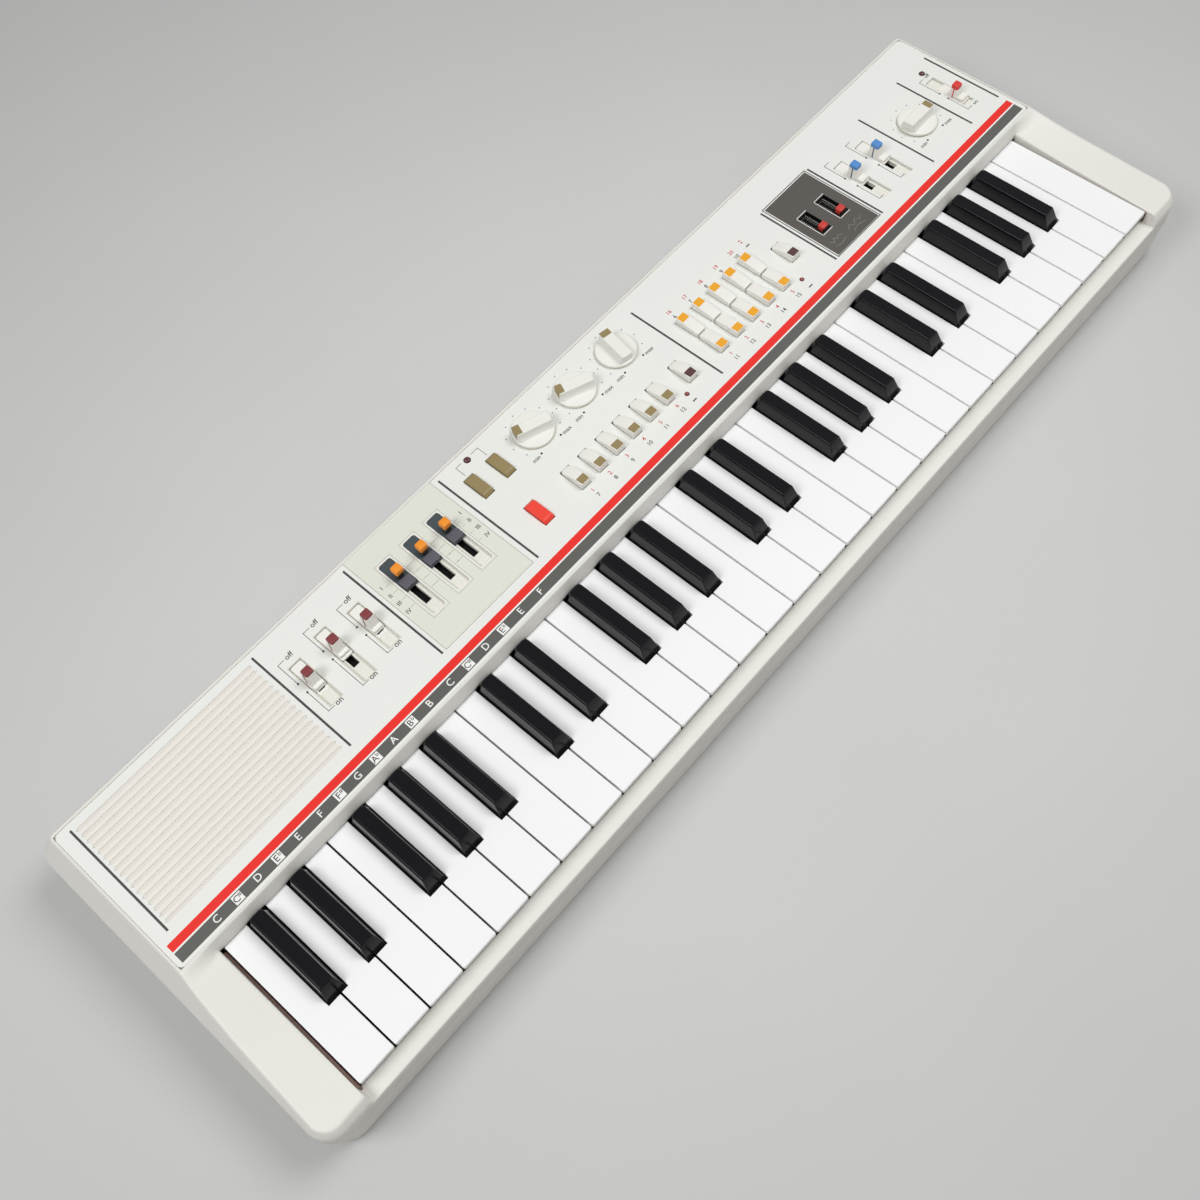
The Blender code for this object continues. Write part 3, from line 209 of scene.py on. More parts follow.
class Finishes(Enum):
    """Every finish of the keyboard."""

    SHELL = Finish("shell_off_white", linear(232, 230, 223), 0.46, 0.012, grain=0.12, edge=0.3 * MM)
    DECK = Finish("deck_cream", linear(232, 230, 220), 0.5, 0.02, grain=0.1, edge=0.2 * MM)
    BASE = Finish("base_off_white", linear(230, 227, 219), 0.5, 0.02, grain=0.15, edge=0.4 * MM)
    PLATE = Finish("plate_off_white", linear(236, 237, 232), 0.42, 0.008, grain=0.05, edge=0.12 * MM)
    GROOVE = Finish("groove_warm_white", linear(226, 221, 212), 0.5, 0.01, grain=0.08)
    RIB_INK = Finish("rib_warm_ink", linear(237, 233, 225), 0.45, 0.01, grain=0.06)
    CREAM_FIELD = Finish("cream_field_ink", linear(226, 228, 216), 0.42, 0.01)
    WHITE_KEY = Finish("white_key", linear(249, 249, 249), 0.3, 0.006, grain=0.02, coat=0.2)
    BLACK_KEY = Finish("black_key", linear(15, 14, 19), 0.18, 0.05, grain=0.03, specular=0.2)
    CONTROL_WHITE = Finish("control_white", linear(241, 239, 232), 0.38, 0.012, edge=0.2 * MM)
    BED_WHITE = Finish("recess_bed_white", linear(238, 238, 232), 0.4, 0.012)
    KNOB_WHITE = Finish("knob_white", linear(240, 239, 232), 0.34, 0.01, coat=0.15)
    KNOB_RIM = Finish("knob_rim_beige", linear(214, 206, 186), 0.4, 0.02)
    OLIVE = Finish("olive_plastic", linear(150, 132, 88), 0.45, 0.03)
    DARK_RED = Finish("dark_red_plastic", linear(134, 58, 62), 0.42, 0.03)
    DARK_BROWN = Finish("dark_brown_plastic", linear(84, 52, 50), 0.45, 0.03)
    SLIDER_TEAL = Finish("slider_teal_grey", linear(66, 76, 80), 0.42, 0.03)
    SLIDER_PAD = Finish("slider_pad_grey", linear(92, 90, 100), 0.45, 0.03)
    SLIDER_NECK = Finish("slider_neck_grey", linear(58, 52, 44), 0.5, 0.03)
    ORANGE = Finish("orange_plastic", linear(248, 150, 36), 0.42, 0.02)
    AMBER = Finish("amber_plastic", linear(242, 170, 34), 0.42, 0.02)
    BLUE = Finish("blue_plastic", linear(86, 146, 214), 0.42, 0.02)
    # A darker copy of the blue: painted shade down the left edge of the blue tabs
    BLUE_SHADE = Finish("blue_core", linear(58, 78, 112), 0.45, 0.02)
    RED = Finish("red_plastic", linear(226, 58, 50), 0.4, 0.02)
    FIELD_RED = Finish("field_red_plastic", linear(206, 62, 50), 0.42, 0.02)
    BRIGHT_RED = Finish("bright_red_plastic", linear(245, 66, 48), 0.42, 0.02)
    LAMP = Finish("lamp_dark_red", linear(86, 26, 34), 0.15, 0.02, coat=0.6)
    SMALL_LAMP = Finish("lamp_red", linear(142, 50, 52), 0.2, 0.02, coat=0.6)
    INK_RED = Finish("stripe_red_ink", linear(238, 34, 22), 0.45, 0.02)
    INK_GREY = Finish("stripe_grey_ink", linear(92, 92, 88), 0.45, 0.03)
    INK_DARK = Finish("dark_grey_ink", linear(70, 68, 66), 0.5, 0.03)
    INK_FAINT = Finish("faint_grey_ink", linear(186, 186, 176), 0.5, 0.03)
    INK_BEIGE = Finish("beige_ink", linear(208, 200, 180), 0.5, 0.03)
    INK_WHITE = Finish("white_ink", linear(244, 244, 240), 0.45, 0.01)
    INK_ROSE = Finish("rose_ink", linear(206, 76, 84), 0.5, 0.03)
    INK_FIELD = Finish("dark_field_ink", linear(88, 84, 80), 0.38, 0.04)
    INK_SILVER = Finish("silver_ink", linear(150, 150, 146), 0.35, 0.02)
    SLOT_BLACK = Finish("slot_black", linear(14, 13, 14), 0.5, 0.05, specular=0.25)
    CHASSIS = Finish("chassis_brown_grey", linear(96, 80, 70), 0.55, 0.04)
    # Brown of painted shade, for the shaded beige wall in the gaps beside the outer keys
    GAP_SHADE = Finish("painted_gap_shade", linear(112, 86, 76), 0.6, 0.03)
    BOARD = Finish("board_green", linear(40, 92, 60), 0.4, 0.06)
    SPEAKER = Finish("speaker_black", linear(34, 33, 34), 0.6, 0.05)
    CLOTH = Finish("speaker_cloth", linear(196, 190, 172), 0.8, 0.05, grain=0.6, grain_size=0.7 * MM)
    FOOT = Finish("foot_rubber", linear(58, 56, 54), 0.75, 0.05, grain=0.2)
    STEEL = Finish("screw_steel", linear(150, 150, 152), 0.3, 0.04, metallic=0.9)

    def material(self) -> bpy.types.Material:
        """Returns the material of this finish."""
        return self.value.material()


def make_object(name: str, shape: Shape, finish: Finishes, angle: float = 40) -> bpy.types.Object:
    """Turns a shape in world coordinates into an object at the origin.

    Args:
        name: The piece's name.
        shape: The mesh under construction, which is freed.
        finish: The finish of the piece.
        angle: Edges sharper than this many degrees stay sharp.

    Returns:
        The new object.
    """
    mesh = bpy.data.meshes.new(name)
    shape.normal_update()
    shape.to_mesh(mesh)
    shape.free()
    mesh.shade_smooth()
    mesh.set_sharp_from_angle(angle=math.radians(angle))
    mesh.materials.append(finish.material())
    return link_object(name, mesh)


def link_object(name: str, data: bpy.types.ID) -> bpy.types.Object:
    """Puts an object with the given data into the scene.

    Args:
        name: The object's name.
        data: Its mesh, curve, lamp or camera.

    Returns:
        The new object.
    """
    item = bpy.data.objects.new(name, data)
    bpy.context.scene.collection.objects.link(item)
    return item


def add_bevel(piece: bpy.types.Object, width: float, segments: int = 2, angle: float = 30) -> None:
    """Rounds the sharp edges of a piece.

    Args:
        piece: The piece to round.
        width: The width of the rounding in metres.
        segments: The faces across the rounding.
        angle: Edges flatter than this many degrees are left.
    """
    bevel = piece.modifiers.new("rounded_edges", "BEVEL")
    bevel.width = width
    bevel.segments = segments
    bevel.limit_method = "ANGLE"
    bevel.angle_limit = math.radians(angle)
    add_flat_faces(piece)


def add_flat_faces(piece: bpy.types.Object) -> None:
    """Keeps the shading of large faces flat beside small rounded ones."""
    weighted = piece.modifiers.new("flat_faces", "WEIGHTED_NORMAL")
    weighted.keep_sharp = True


def add_box(shape: Shape, low: Sequence[float], high: Sequence[float]) -> None:
    """Adds a box between two corners.

    Args:
        shape: The mesh under construction.
        low: The lowest corner.
        high: The highest corner.
    """
    start = Vector(low)
    end = Vector(high)
    matrix = Matrix.Translation((start + end) / 2) @ Matrix.Diagonal((*(end - start), 1.0))
    bmesh.ops.create_cube(shape, size=1.0, matrix=matrix)


def raised(outline: Iterable[Point], height: float) -> list[Place]:
    """Lifts a flat outline to a height."""
    return [(x, y, height) for x, y in outline]


def corners(across: Point, along: Point) -> list[Point]:
    """Corners of a rectangle, counter-clockwise."""
    return [(across[0], along[0]), (across[1], along[0]), (across[1], along[1]), (across[0], along[1])]


def add_prism(shape: Shape, outline: Sequence[Point], low: float, high: float) -> None:
    """Adds an upright prism over an outline that runs counter-clockwise.

    Args:
        shape: The mesh under construction.
        outline: The corners in X and Y.
        low: The height of its underside.
        high: The height of its top.
    """
    add_loft(shape, [raised(outline, low), raised(outline, high)])


def add_sides(shape: Shape, rows: Sequence[Sequence[bmesh.types.BMVert]]) -> None:
    """Joins rows of equally many corners by a band of faces between each row and the next.

    Args:
        shape: The mesh under construction.
        rows: The rows of corners.
    """
    count = len(rows[0])
    for first, second in zip(rows, rows[1:]):
        for index in range(count):
            following = (index + 1) % count
            shape.faces.new((first[index], first[following], second[following], second[index]))


def add_loft(shape: Shape, rings: Sequence[Sequence[Sequence[float]]]) -> None:
    """Joins rings of equally many points into a closed body.

    Args:
        shape: The mesh under construction.
        rings: The rings, counter-clockwise seen from the last one.
    """
    rows = [[shape.verts.new(point) for point in ring] for ring in rings]
    add_sides(shape, rows)
    shape.faces.new(list(reversed(rows[0])))
    shape.faces.new(rows[-1])


def add_ring(shape: Shape, outer: Sequence[Point], inner: Sequence[Point], low: float,
             high: float) -> None:
    """Adds a flat ring between two outlines of equally many points.

    Args:
        shape: The mesh under construction.
        outer: The outer outline, counter-clockwise.
        inner: The inner outline, counter-clockwise.
        low: The height of its underside.
        high: The height of its top.
    """
    rows = []
    for outline, height in ((outer, low), (outer, high), (inner, high), (inner, low)):
        rows.append([shape.verts.new(point) for point in raised(outline, height)])
    add_sides(shape, [*rows, rows[0]])


def rounded_outline(low: Point, high: Point, radius: float, steps: int = 6) -> list[Point]:
    """Corners of a rectangle with round corners, counter-clockwise.

    Args:
        low: The lowest X and Y.
        high: The highest X and Y.
        radius: The radius of the corners.
        steps: The steps round each corner.

    Returns:
        The outline's points.
    """
    centers = (
        (high[0] - radius, high[1] - radius),
        (low[0] + radius, high[1] - radius),
        (low[0] + radius, low[1] + radius),
        (high[0] - radius, low[1] + radius),
    )
    points = []
    for quarter, center in enumerate(centers):
        for step in range(steps + 1):
            angle = (quarter + step / steps) * math.pi / 2
            points.append((center[0] + radius * math.cos(angle), center[1] + radius * math.sin(angle)))
    return points


def disc_outline(x: float, y: float, radius: float, sides: int = 24) -> list[Point]:
    """Corners of a round outline.

    Args:
        x: The centre's X.
        y: The centre's Y.
        radius: The radius.
        sides: The number of corners.

    Returns:
        The outline's points, counter-clockwise.
    """
    turns = [2 * math.pi * index / sides for index in range(sides)]
    return [(x + radius * math.cos(turn), y + radius * math.sin(turn)) for turn in turns]


def cut_out(target: bpy.types.Object, shape: Shape) -> None:
    """Cuts a shape out of a piece for good.

    Args:
        target: The piece that is cut.
        shape: What is cut away, which is freed.
    """
    mesh = bpy.data.meshes.new("cutter")
    shape.to_mesh(mesh)
    shape.free()
    cutter = link_object("cutter", mesh)
    modifier = target.modifiers.new("cut", "BOOLEAN")
    modifier.solver = "EXACT"
    modifier.object = cutter
    old = target.data
    target.data = evaluated_mesh(target)
    target.data.name = target.name
    target.modifiers.clear()
    bpy.data.meshes.remove(old)
    bpy.data.objects.remove(cutter)


def evaluated_mesh(item: bpy.types.Object) -> bpy.types.Mesh:
    """Turns an object with its modifiers into a plain mesh.

    Args:
        item: The object.

    Returns:
        A new mesh.
    """
    graph = bpy.context.evaluated_depsgraph_get()
    graph.update()
    return bpy.data.meshes.new_from_object(item.evaluated_get(graph), depsgraph=graph)


class Tree(Wiring):
    """A tree of Geometry Nodes with named inputs."""

    def __init__(self, name: str, sizes: Sequence[str], counted: bool = False) -> None:
        """Starts a tree.

        Args:
            name: The tree's name.
            sizes: The names of its sizes.
            counted: Whether it also takes a count.
        """
        super().__init__(bpy.data.node_groups.new(name, "GeometryNodeTree"))
        kinds = {"Count": "NodeSocketInt"} if counted else {"Geometry": "NodeSocketGeometry"}
        kinds.update({size: "NodeSocketFloat" for size in sizes})
        sockets = self.tree.interface
        sockets.new_socket("Geometry", in_out="OUTPUT", socket_type="NodeSocketGeometry")
        for label, kind in kinds.items():
            sockets.new_socket(label, in_out="INPUT", socket_type=kind)
        self.entry = self.add("NodeGroupInput").outputs

    def end(self, points: object, shape: object, finish: Finishes) -> None:
        """Sets a shape on every point, makes the copies real and paints them.

        Args:
            points: The node or socket that gives the points.
            shape: The node or socket that gives the shape.
            finish: The finish.
        """
        spread = self.add("GeometryNodeInstanceOnPoints", {"Points": points, "Instance": shape})
        real = self.add("GeometryNodeRealizeInstances", {"Geometry": spread})
        painted = self.add("GeometryNodeSetMaterial", {"Geometry": real, "Material": finish.material()})
        self.add("NodeGroupOutput", {"Geometry": painted})

    def run(self, values: dict[str, float], points: Sequence[Place] = ()) -> bpy.types.Mesh:
        """Runs the tree.

        Args:
            values: The value of each named input.
            points: The points of the mesh that it starts from, if it needs any.

        Returns:
            The result as a plain mesh.
        """
        start = bpy.data.meshes.new("holder")
        start.from_pydata(list(points), [], [])
        holder = link_object("holder", start)
        modifier = holder.modifiers.new("nodes", "NODES")
        modifier.node_group = self.tree
        for item in self.tree.interface.items_tree:
            if item.item_type == "SOCKET" and item.in_out == "INPUT" and item.name in values:
                modifier[item.identifier] = values[item.name]
        result = evaluated_mesh(holder)
        bpy.data.objects.remove(holder)
        return result


class BarTree(Tree):
    """Equal bars side by side, which run along X from the origin towards +Y."""

    def __init__(self, finish: Finishes) -> None:
        """Builds the tree.

        Args:
            finish: The finish of the bars.
        """
        super().__init__("spaced_bars", ("Pitch", "Length", "Width", "Height"), counted=True)
        step = self.add("ShaderNodeCombineXYZ", {"Y": self.entry["Pitch"]})
        row = self.add("GeometryNodeMeshLine", {"Count": self.entry["Count"], "Offset": step})
        size = self.add("ShaderNodeCombineXYZ", {
            "X": self.entry["Length"], "Y": self.entry["Width"], "Z": self.entry["Height"]})
        self.end(row, self.add("GeometryNodeMeshCube", {"Size": size}), finish)


class Frame:
    """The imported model, and the places that the looks take from it."""

    def __init__(self) -> None:
        """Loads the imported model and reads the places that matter."""
        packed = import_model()
        self.nodes = packed["nodes"]
        self.bodies = packed["bodies"]
        self.start_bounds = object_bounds()
        low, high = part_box("white_key_01")
        self.key_front = low.y
        self.key_top = high.z
        self.plate_low, self.plate_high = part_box(PANEL)
        self.plate_top = self.plate_high.z
        self.case_low, self.case_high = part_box("upper_case")

    def behind(self, distance: float) -> float:
        """Y of a place that is a distance in millimetres behind the fronts of the white keys."""
        return self.key_front + distance * MM

    def spot(self, x: float, y: float) -> Point:
        """X and Y of a place given in millimetres, behind the key fronts along Y."""
        return x * MM, self.behind(y)

    def rise(self, height: float) -> float:
        """Z of a place that is a height in millimetres over the plate's face."""
        return self.plate_top + height * MM

    def over(self, x: float, y: float, height: float) -> Place:
        """A place given in millimetres, behind the key fronts along Y and over the plate's face."""
        return x * MM, self.behind(y), self.rise(height)

    def add_block(self, shape: Shape, across: Sequence[float], along: Sequence[float],
                  heights: Sequence[float]) -> None:
        """Adds a box.

        Args:
            shape: The mesh under construction.
            across: Its left and right side in millimetres.
            along: Its front and rear end behind the key fronts in millimetres.
            heights: The heights of its underside and top in metres.
        """
        low, high = ((*self.spot(across[end], along[end]), heights[end]) for end in (0, 1))
        add_box(shape, low, high)

    def outline(self, across: Point, along: Point, radius: float, steps: int = 6) -> list[Point]:
        """Rounded rectangle given in millimetres.

        Args:
            across: Its left and right side.
            along: Its front and rear end behind the key fronts.
            radius: The radius of its corners.
            steps: The steps round each corner.

        Returns:
            The outline's points in metres.
        """
        low, high = (self.spot(across[end], along[end]) for end in (0, 1))
        return rounded_outline(low, high, radius * MM, steps)

    def add(self, name: str, shape: Shape, finish: Finishes, node: str, angle: float = 40,
            bevel: Sequence[float] = (), instead: bool = False) -> bpy.types.Object:
        """Makes a piece that rides with a node's body.

        Args:
            name: The piece's name.
            shape: The mesh under construction, which is freed.
            finish: The finish.
            node: The node.
            angle: Edges sharper than this many degrees stay sharp.
            bevel: Width, faces and angle of the rounding of its edges, if it has one.
            instead: Whether the piece stands for the node.

        Returns:
            The new piece.
        """
        piece = make_object(name, shape, finish, angle)
        if bevel:
            add_bevel(piece, *bevel)
        self.settle(piece, node, instead)
        return piece

    def add_mesh(self, name: str, mesh: bpy.types.Mesh, finish: Finishes, node: str) -> None:
        """Makes a piece from the result of a node tree.

        Args:
            name: The piece's name.
            mesh: The result, which is removed.
            finish: The finish.
            node: The node whose body it rides with.
        """
        shape = bmesh.new()
        shape.from_mesh(mesh)
        bpy.data.meshes.remove(mesh)
        for face in shape.faces:
            face.material_index = 0
        self.add(name, shape, finish, node, 30)

    def copy_of(self, node: str, finish: Finishes) -> bpy.types.Object:
        """Makes a merged copy of a node.

        Args:
            node: The node that is copied.
            finish: The finish of the copy.

        Returns:
            The copy.
        """
        shape = bmesh.new()
        shape.from_mesh(self.nodes[node].data)
        bmesh.ops.remove_doubles(shape, verts=shape.verts, dist=0.001 * MM)
        bmesh.ops.dissolve_limit(shape, angle_limit=math.radians(0.5), verts=shape.verts, edges=shape.edges)
        return make_object(node + "_body", shape, finish, 30)

    def refine(self, node: str, finish: Finishes, width: float, segments: int) -> None:
        """Replaces a node by a copy with rounded edges.

        Args:
            node: The node that is shown better.
            finish: The finish of the copy.
            width: The width of the rounding.
            segments: The faces across the rounding.
        """
        piece = self.copy_of(node, finish)
        add_bevel(piece, width, segments)
        self.settle(piece, node, True)

    def settle(self, piece: bpy.types.Object, node: str, instead: bool = False) -> None:
        """Makes a piece ride with the body of a node.

        Args:
            piece: The piece.
            node: The node whose body it rides with.
            instead: Whether the piece stands for the node.
        """
        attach(piece, CASE if node not in self.bodies else node)
        if instead:
            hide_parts(node)


@dataclass
class Studio:
    """The floor, the lights and the camera of the photograph's view."""

    place: Place = (-253.7 * MM, -230.4 * MM, 594.6 * MM)
    azimuth: float = 41.626
    elevation: float = 62.751
    roll: float = -7.744
    lens: float = 41.12
    floor_size: float = 8.0
    floor_color: Color = linear(206, 206, 205)
    # Painted falloff of light: the floor's colour darkens from the first to the second distance, down to this
    # share
    floor_painted_falloff_share: float = 0.78
    floor_painted_falloff_span: Point = (0.2, 0.65)
    sky_low: float = 0.1
    sky_high: float = 0.48
    backdrop: float = 0.5
    backdrop_span: Point = (0.65, 1.2)
    lamp_aim: Place = (-0.08, 0.02, 0.04)
    # Name, the way towards the lamp, its distance and width in metres, and its strength in watts
    lamps: tuple[tuple[str, Place, float, float, float], ...] = (
        ("right_softbox", (0.42, -0.2, 0.86), 1.6, 0.8, 10.4),
        ("left_softbox", (-0.58, 0.1, 0.81), 1.6, 0.7, 9.4),
    )

    def build(self) -> None:
        """Makes the floor, lights and camera."""
        self.make_camera()
        self.make_floor()
        self.make_surroundings()
        self.make_lamps()
        bpy.context.scene.view_settings.view_transform = "Standard"

    def make_camera(self) -> None:
        """Places the camera by its azimuth, elevation and roll."""
        turn = math.radians(self.azimuth)
        tilt = math.radians(self.elevation)
        roll = math.radians(self.roll)
        forward = Vector((math.sin(turn) * math.cos(tilt), math.cos(turn) * math.cos(tilt), -math.sin(tilt)))
        level = Vector((math.cos(turn), -math.sin(turn), 0.0))
        right = level * math.cos(roll) + level.cross(forward) * math.sin(roll)
        top = right.cross(forward)
        data = bpy.data.cameras.new("camera")
        data.lens = self.lens
        data.sensor_width = 36.0
        data.clip_start = 0.01
        camera = link_object("camera", data)
        camera.matrix_world = Matrix((
            (right.x, top.x, -forward.x, self.place[0]),
            (right.y, top.y, -forward.y, self.place[1]),
            (right.z, top.z, -forward.z, self.place[2]),
            (0.0, 0.0, 0.0, 1.0),
        ))
        bpy.context.scene.camera = camera

    def make_floor(self) -> None:
        """Makes the plain pale floor, whose colour is painted darker away from the keyboard as a painted
        falloff of light, which keeps the shadow and turns into the backdrop further off.
        """
        shape = bmesh.new()
        bmesh.ops.create_grid(shape, x_segments=1, y_segments=1, size=self.floor_size / 2)
        mesh = bpy.data.meshes.new("floor")
        shape.to_mesh(mesh)
        shape.free()
        material = bpy.data.materials.new("floor_paper")
        material.use_nodes = True
        mesh.materials.append(material)
        nodes = material.node_tree.nodes
        wiring = Wiring(material.node_tree)
        place = wiring.add("ShaderNodeTexCoord").outputs["Object"]
        clouds = wiring.add("ShaderNodeTexNoise", {"Scale": 5.0, "Detail": 5.0, "Vector": place})
        darker, lighter = ((*(channel * share for channel in self.floor_color[:3]), 1.0)
                           for share in (0.96, 1.04))
        shade = wiring.add("ShaderNodeMix", {"A": darker, "B": lighter, "Factor": clouds}, data_type="RGBA")
        # Painted falloff of light: the floor's colour is scaled down with the distance from the keyboard
        away = wiring.add("ShaderNodeVectorMath", {0: place}, operation="LENGTH")
        fade = wiring.add("ShaderNodeMapRange", {
            "From Min": self.floor_painted_falloff_span[0], "From Max": self.floor_painted_falloff_span[1], "To Min": 1.0,
            "To Max": self.floor_painted_falloff_share, "Value": away})
        falloff_painted_color = wiring.add("ShaderNodeVectorMath", operation="SCALE")
        wiring.fill(falloff_painted_color, {0: shade, "Scale": fade})
        wiring.fill(nodes["Principled BSDF"], {"Roughness": 0.85, "Base Color": falloff_painted_color})
        distance = wiring.add("ShaderNodeMapRange", {
            "From Min": self.backdrop_span[0], "From Max": self.backdrop_span[1], "Value": away},
            interpolation_type="SMOOTHSTEP")
        share = wiring.add("ShaderNodeMath", {0: distance, 1: self.seen_rays(wiring)}, operation="MULTIPLY")
        pale = wiring.add("ShaderNodeEmission", {"Color": (*[self.backdrop] * 3, 1.0)})
        joined = wiring.add("ShaderNodeMixShader", {"Fac": share, 1: nodes["Principled BSDF"], 2: pale})
        wiring.fill(nodes["Material Output"], {"Surface": joined})
        link_object("floor", mesh)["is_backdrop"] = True

    def seen_rays(self, wiring: Wiring) -> bpy.types.Node:
        """Adds nodes that tell the rays which show the backdrop from those which only light the object.

        Args:
            wiring: The material's or the world's nodes.

        Returns:
            The node that gives 1 for a ray of the camera, of a reflection or through a clear piece.
        """
        path = wiring.add("ShaderNodeLightPath").outputs
        mirrored = wiring.add("ShaderNodeMath", {0: path["Is Camera Ray"], 1: path["Is Glossy Ray"]},
                              operation="MAXIMUM")
        return wiring.add("ShaderNodeMath", {0: mirrored, 1: path["Is Transmission Ray"]},
                          operation="MAXIMUM")

    def make_surroundings(self) -> None:
        """Makes the pale surroundings, whose light is stronger overhead."""
        world = bpy.data.worlds.new("surroundings")
        bpy.context.scene.world = world
        world.use_nodes = True
        wiring = Wiring(world.node_tree)
        place = wiring.add("ShaderNodeTexCoord").outputs["Generated"]
        height = wiring.add("ShaderNodeSeparateXYZ", {"Vector": place}).outputs["Z"]
        fade = wiring.add("ShaderNodeMapRange", {
            "To Min": self.sky_low, "To Max": self.sky_high, "Value": height})
        strength = wiring.add("ShaderNodeMix", {
            "Factor": self.seen_rays(wiring), "A": fade, "B": self.backdrop})
        wiring.fill(world.node_tree.nodes["Background"], {
            "Color": (1.0, 1.0, 1.0, 1.0), "Strength": strength})

    def make_lamps(self) -> None:
        """Makes the two soft lamps."""
        for name, direction, distance, width, strength in self.lamps:
            lamp = bpy.data.lights.new(name, "AREA")
            lamp.shape = "DISK"
            lamp.size = width
            lamp.energy = strength
            holder = link_object(name, lamp)
            holder.location = Vector(self.lamp_aim) + Vector(direction).normalized() * distance
            holder.rotation_euler = Vector(direction).to_track_quat("Z", "Y").to_euler()


@dataclass
class UpperCase:
    """The flared upper case: skirt, cheeks, front rail, key well, lip and the deck under the plate."""

    frame: Frame
    corner: float = 11 * MM
    corner_steps: int = 20
    flank_start: float = 36 * MM
    flank_slope: float = 0.59
    shoulder_width: float = 0.8 * MM
    shoulder_drop: float = 1.0 * MM
    blend: float = 1.0 * MM
    well_half: float = 284.4 * MM
    well_front: float = 1.6
    well_rear: float = 80.5
    rail_z: float = 33.3 * MM
    recess_half: float = 299.5 * MM
    recess_front: float = 83.7
    recess_rear: float = 168.0
    deck_top: float = 48.6 * MM
    deck_bottom: float = 46.2 * MM
    deck_reach: float = 0.4 * MM
    lip_bottom: float = 43.0 * MM
    edge_radius: float = 0.7 * MM
    wall: float = 0.6 * MM
    softness: float = 4.5
    # Grid lines in millimetres: from the middle to the side, behind the key fronts, and in from an outer edge
    across_lines: tuple[float, ...] = (
        0, 80, 160, 230, 270, 283.9, 284.4, 284.5, 284.7, 285.1, 286, 288, 291, 294, 299.5, 299.6, 299.75)
    along_lines: tuple[float, ...] = (
        0.9, 1.3, 1.5, 1.6, 12, 20, 30, 40, 50, 58, 66, 72, 74.5, 76.5, 78, 79, 80, 80.5, 80.6, 80.8, 81.2,
        81.6, 82.1, 82.5, 82.8, 83.1, 83.4, 83.7, 84.4, 85.2, 86.2, 87.5, 90, 110, 130, 150, 168, 168.1,
        168.25)
    edge_lines: tuple[float, ...] = (0.1, 0.25, 0.4, 0.7)
    # Distance behind the key fronts, then height over the keys of the cheek's inner and outer edge
    cheek_line: tuple[Place, ...] = (
        (-20.0, -2.0, -3.4), (-10.0, -1.6, -2.5), (0.0, -1.2, -1.7), (50.0, 0.5, 2.2),
        (66.0, 1.6, 4.3), (80.5, 2.8, 7.4), (82.9, 8.4, 8.4), (90.0, 25.0, 11.4),
    )

    def build(self) -> None:
        """Builds the shell, which replaces the plain node, and the deck."""
        shell = self.make_shell()
        thickness = shell.modifiers.new("wall", "SOLIDIFY")
        thickness.thickness = self.wall
        thickness.offset = -1.0
        thickness.use_even_offset = True
        self.frame.settle(shell, "upper_case", True)
        self.make_deck()
        LOG.info("upper case: %d faces", len(shell.data.polygons))

    def edge_insets(self) -> list[float]:
        """How far the grid lines near an outer edge lie inside it."""
        insets = [self.corner * step / self.corner_steps for step in range(self.corner_steps + 1)]
        return insets + [value * MM for value in self.edge_lines]

    def x_lines(self) -> list[float]:
        """Grid lines along X from the left to the right side.

        Returns:
            The lines' X in metres.
        """
        lines = [value * MM for value in self.across_lines]
        lines += [self.frame.case_high.x - inset for inset in self.edge_insets()]
        right = {round(line, 7) for line in lines}
        return sorted(right | {-line for line in right})

    def y_lines(self) -> list[float]:
        """Grid lines along Y from the front to the rear.

        Returns:
            The lines' Y in metres.
        """
        lines = [self.frame.behind(value) for value in self.along_lines]
        for inset in self.edge_insets():
            lines += [self.frame.case_low.y + inset, self.frame.case_high.y - inset]
        return sorted({round(line, 7) for line in lines})

    def make_shell(self) -> bpy.types.Object:
        """Makes the shell from one grid whose heights follow the flanks, cheeks, lip and rail.

        Returns:
            The shell.
        """
        columns = self.x_lines()
        rows = self.y_lines()
        margin = 0.001 * MM
        openings = [(half + margin, self.frame.behind(front) - margin, self.frame.behind(rear) + margin)
                    for half, front, rear in ((self.well_half, self.well_front, self.well_rear),
                                              (self.recess_half, self.recess_front, self.recess_rear))]
        shape = bmesh.new()
        grid = [[shape.verts.new(self.surface(x, y)) for x in columns] for y in rows]
        for row in range(len(rows) - 1):
            for column in range(len(columns) - 1):
                side = max(abs(columns[column]), abs(columns[column + 1]))
                if any(side <= half and rows[row] >= front and rows[row + 1] <= rear
                       for half, front, rear in openings):
                    continue
                shape.faces.new((grid[row][column], grid[row][column + 1], grid[row + 1][column + 1],
                                 grid[row + 1][column]))
        loose = [vert for vert in shape.verts if not vert.link_faces]
        bmesh.ops.delete(shape, geom=loose, context="VERTS")
        self.drop_edges(shape)
        return make_object("upper_case_shell", shape, Finishes.SHELL, 45)

    def surface(self, x: float, y: float) -> Vector:
        """Place of a grid crossing on the shell: corners turn round and the height follows the form.

        Args:
            x: The crossing's X before the corners turn.
            y: The crossing's Y before the corners turn.

        Returns:
            The point on the shell.
        """
        half_x = self.frame.case_high.x
        half_y = self.frame.case_high.y
        inset = min(half_x - abs(x), half_y - abs(y))
        across = abs(x) - (half_x - self.corner)
        along = abs(y) - (half_y - self.corner)
        if across > 0 and along > 0:
            reach = max(across, along)
            turn = math.pi / 4 * along / across if across >= along else math.pi / 4 * (2 - across / along)
            x = math.copysign(half_x - self.corner + reach * math.cos(turn), x)
            y = math.copysign(half_y - self.corner + reach * math.sin(turn), y)
        return Vector((x, y, self.height(x, y, inset)))

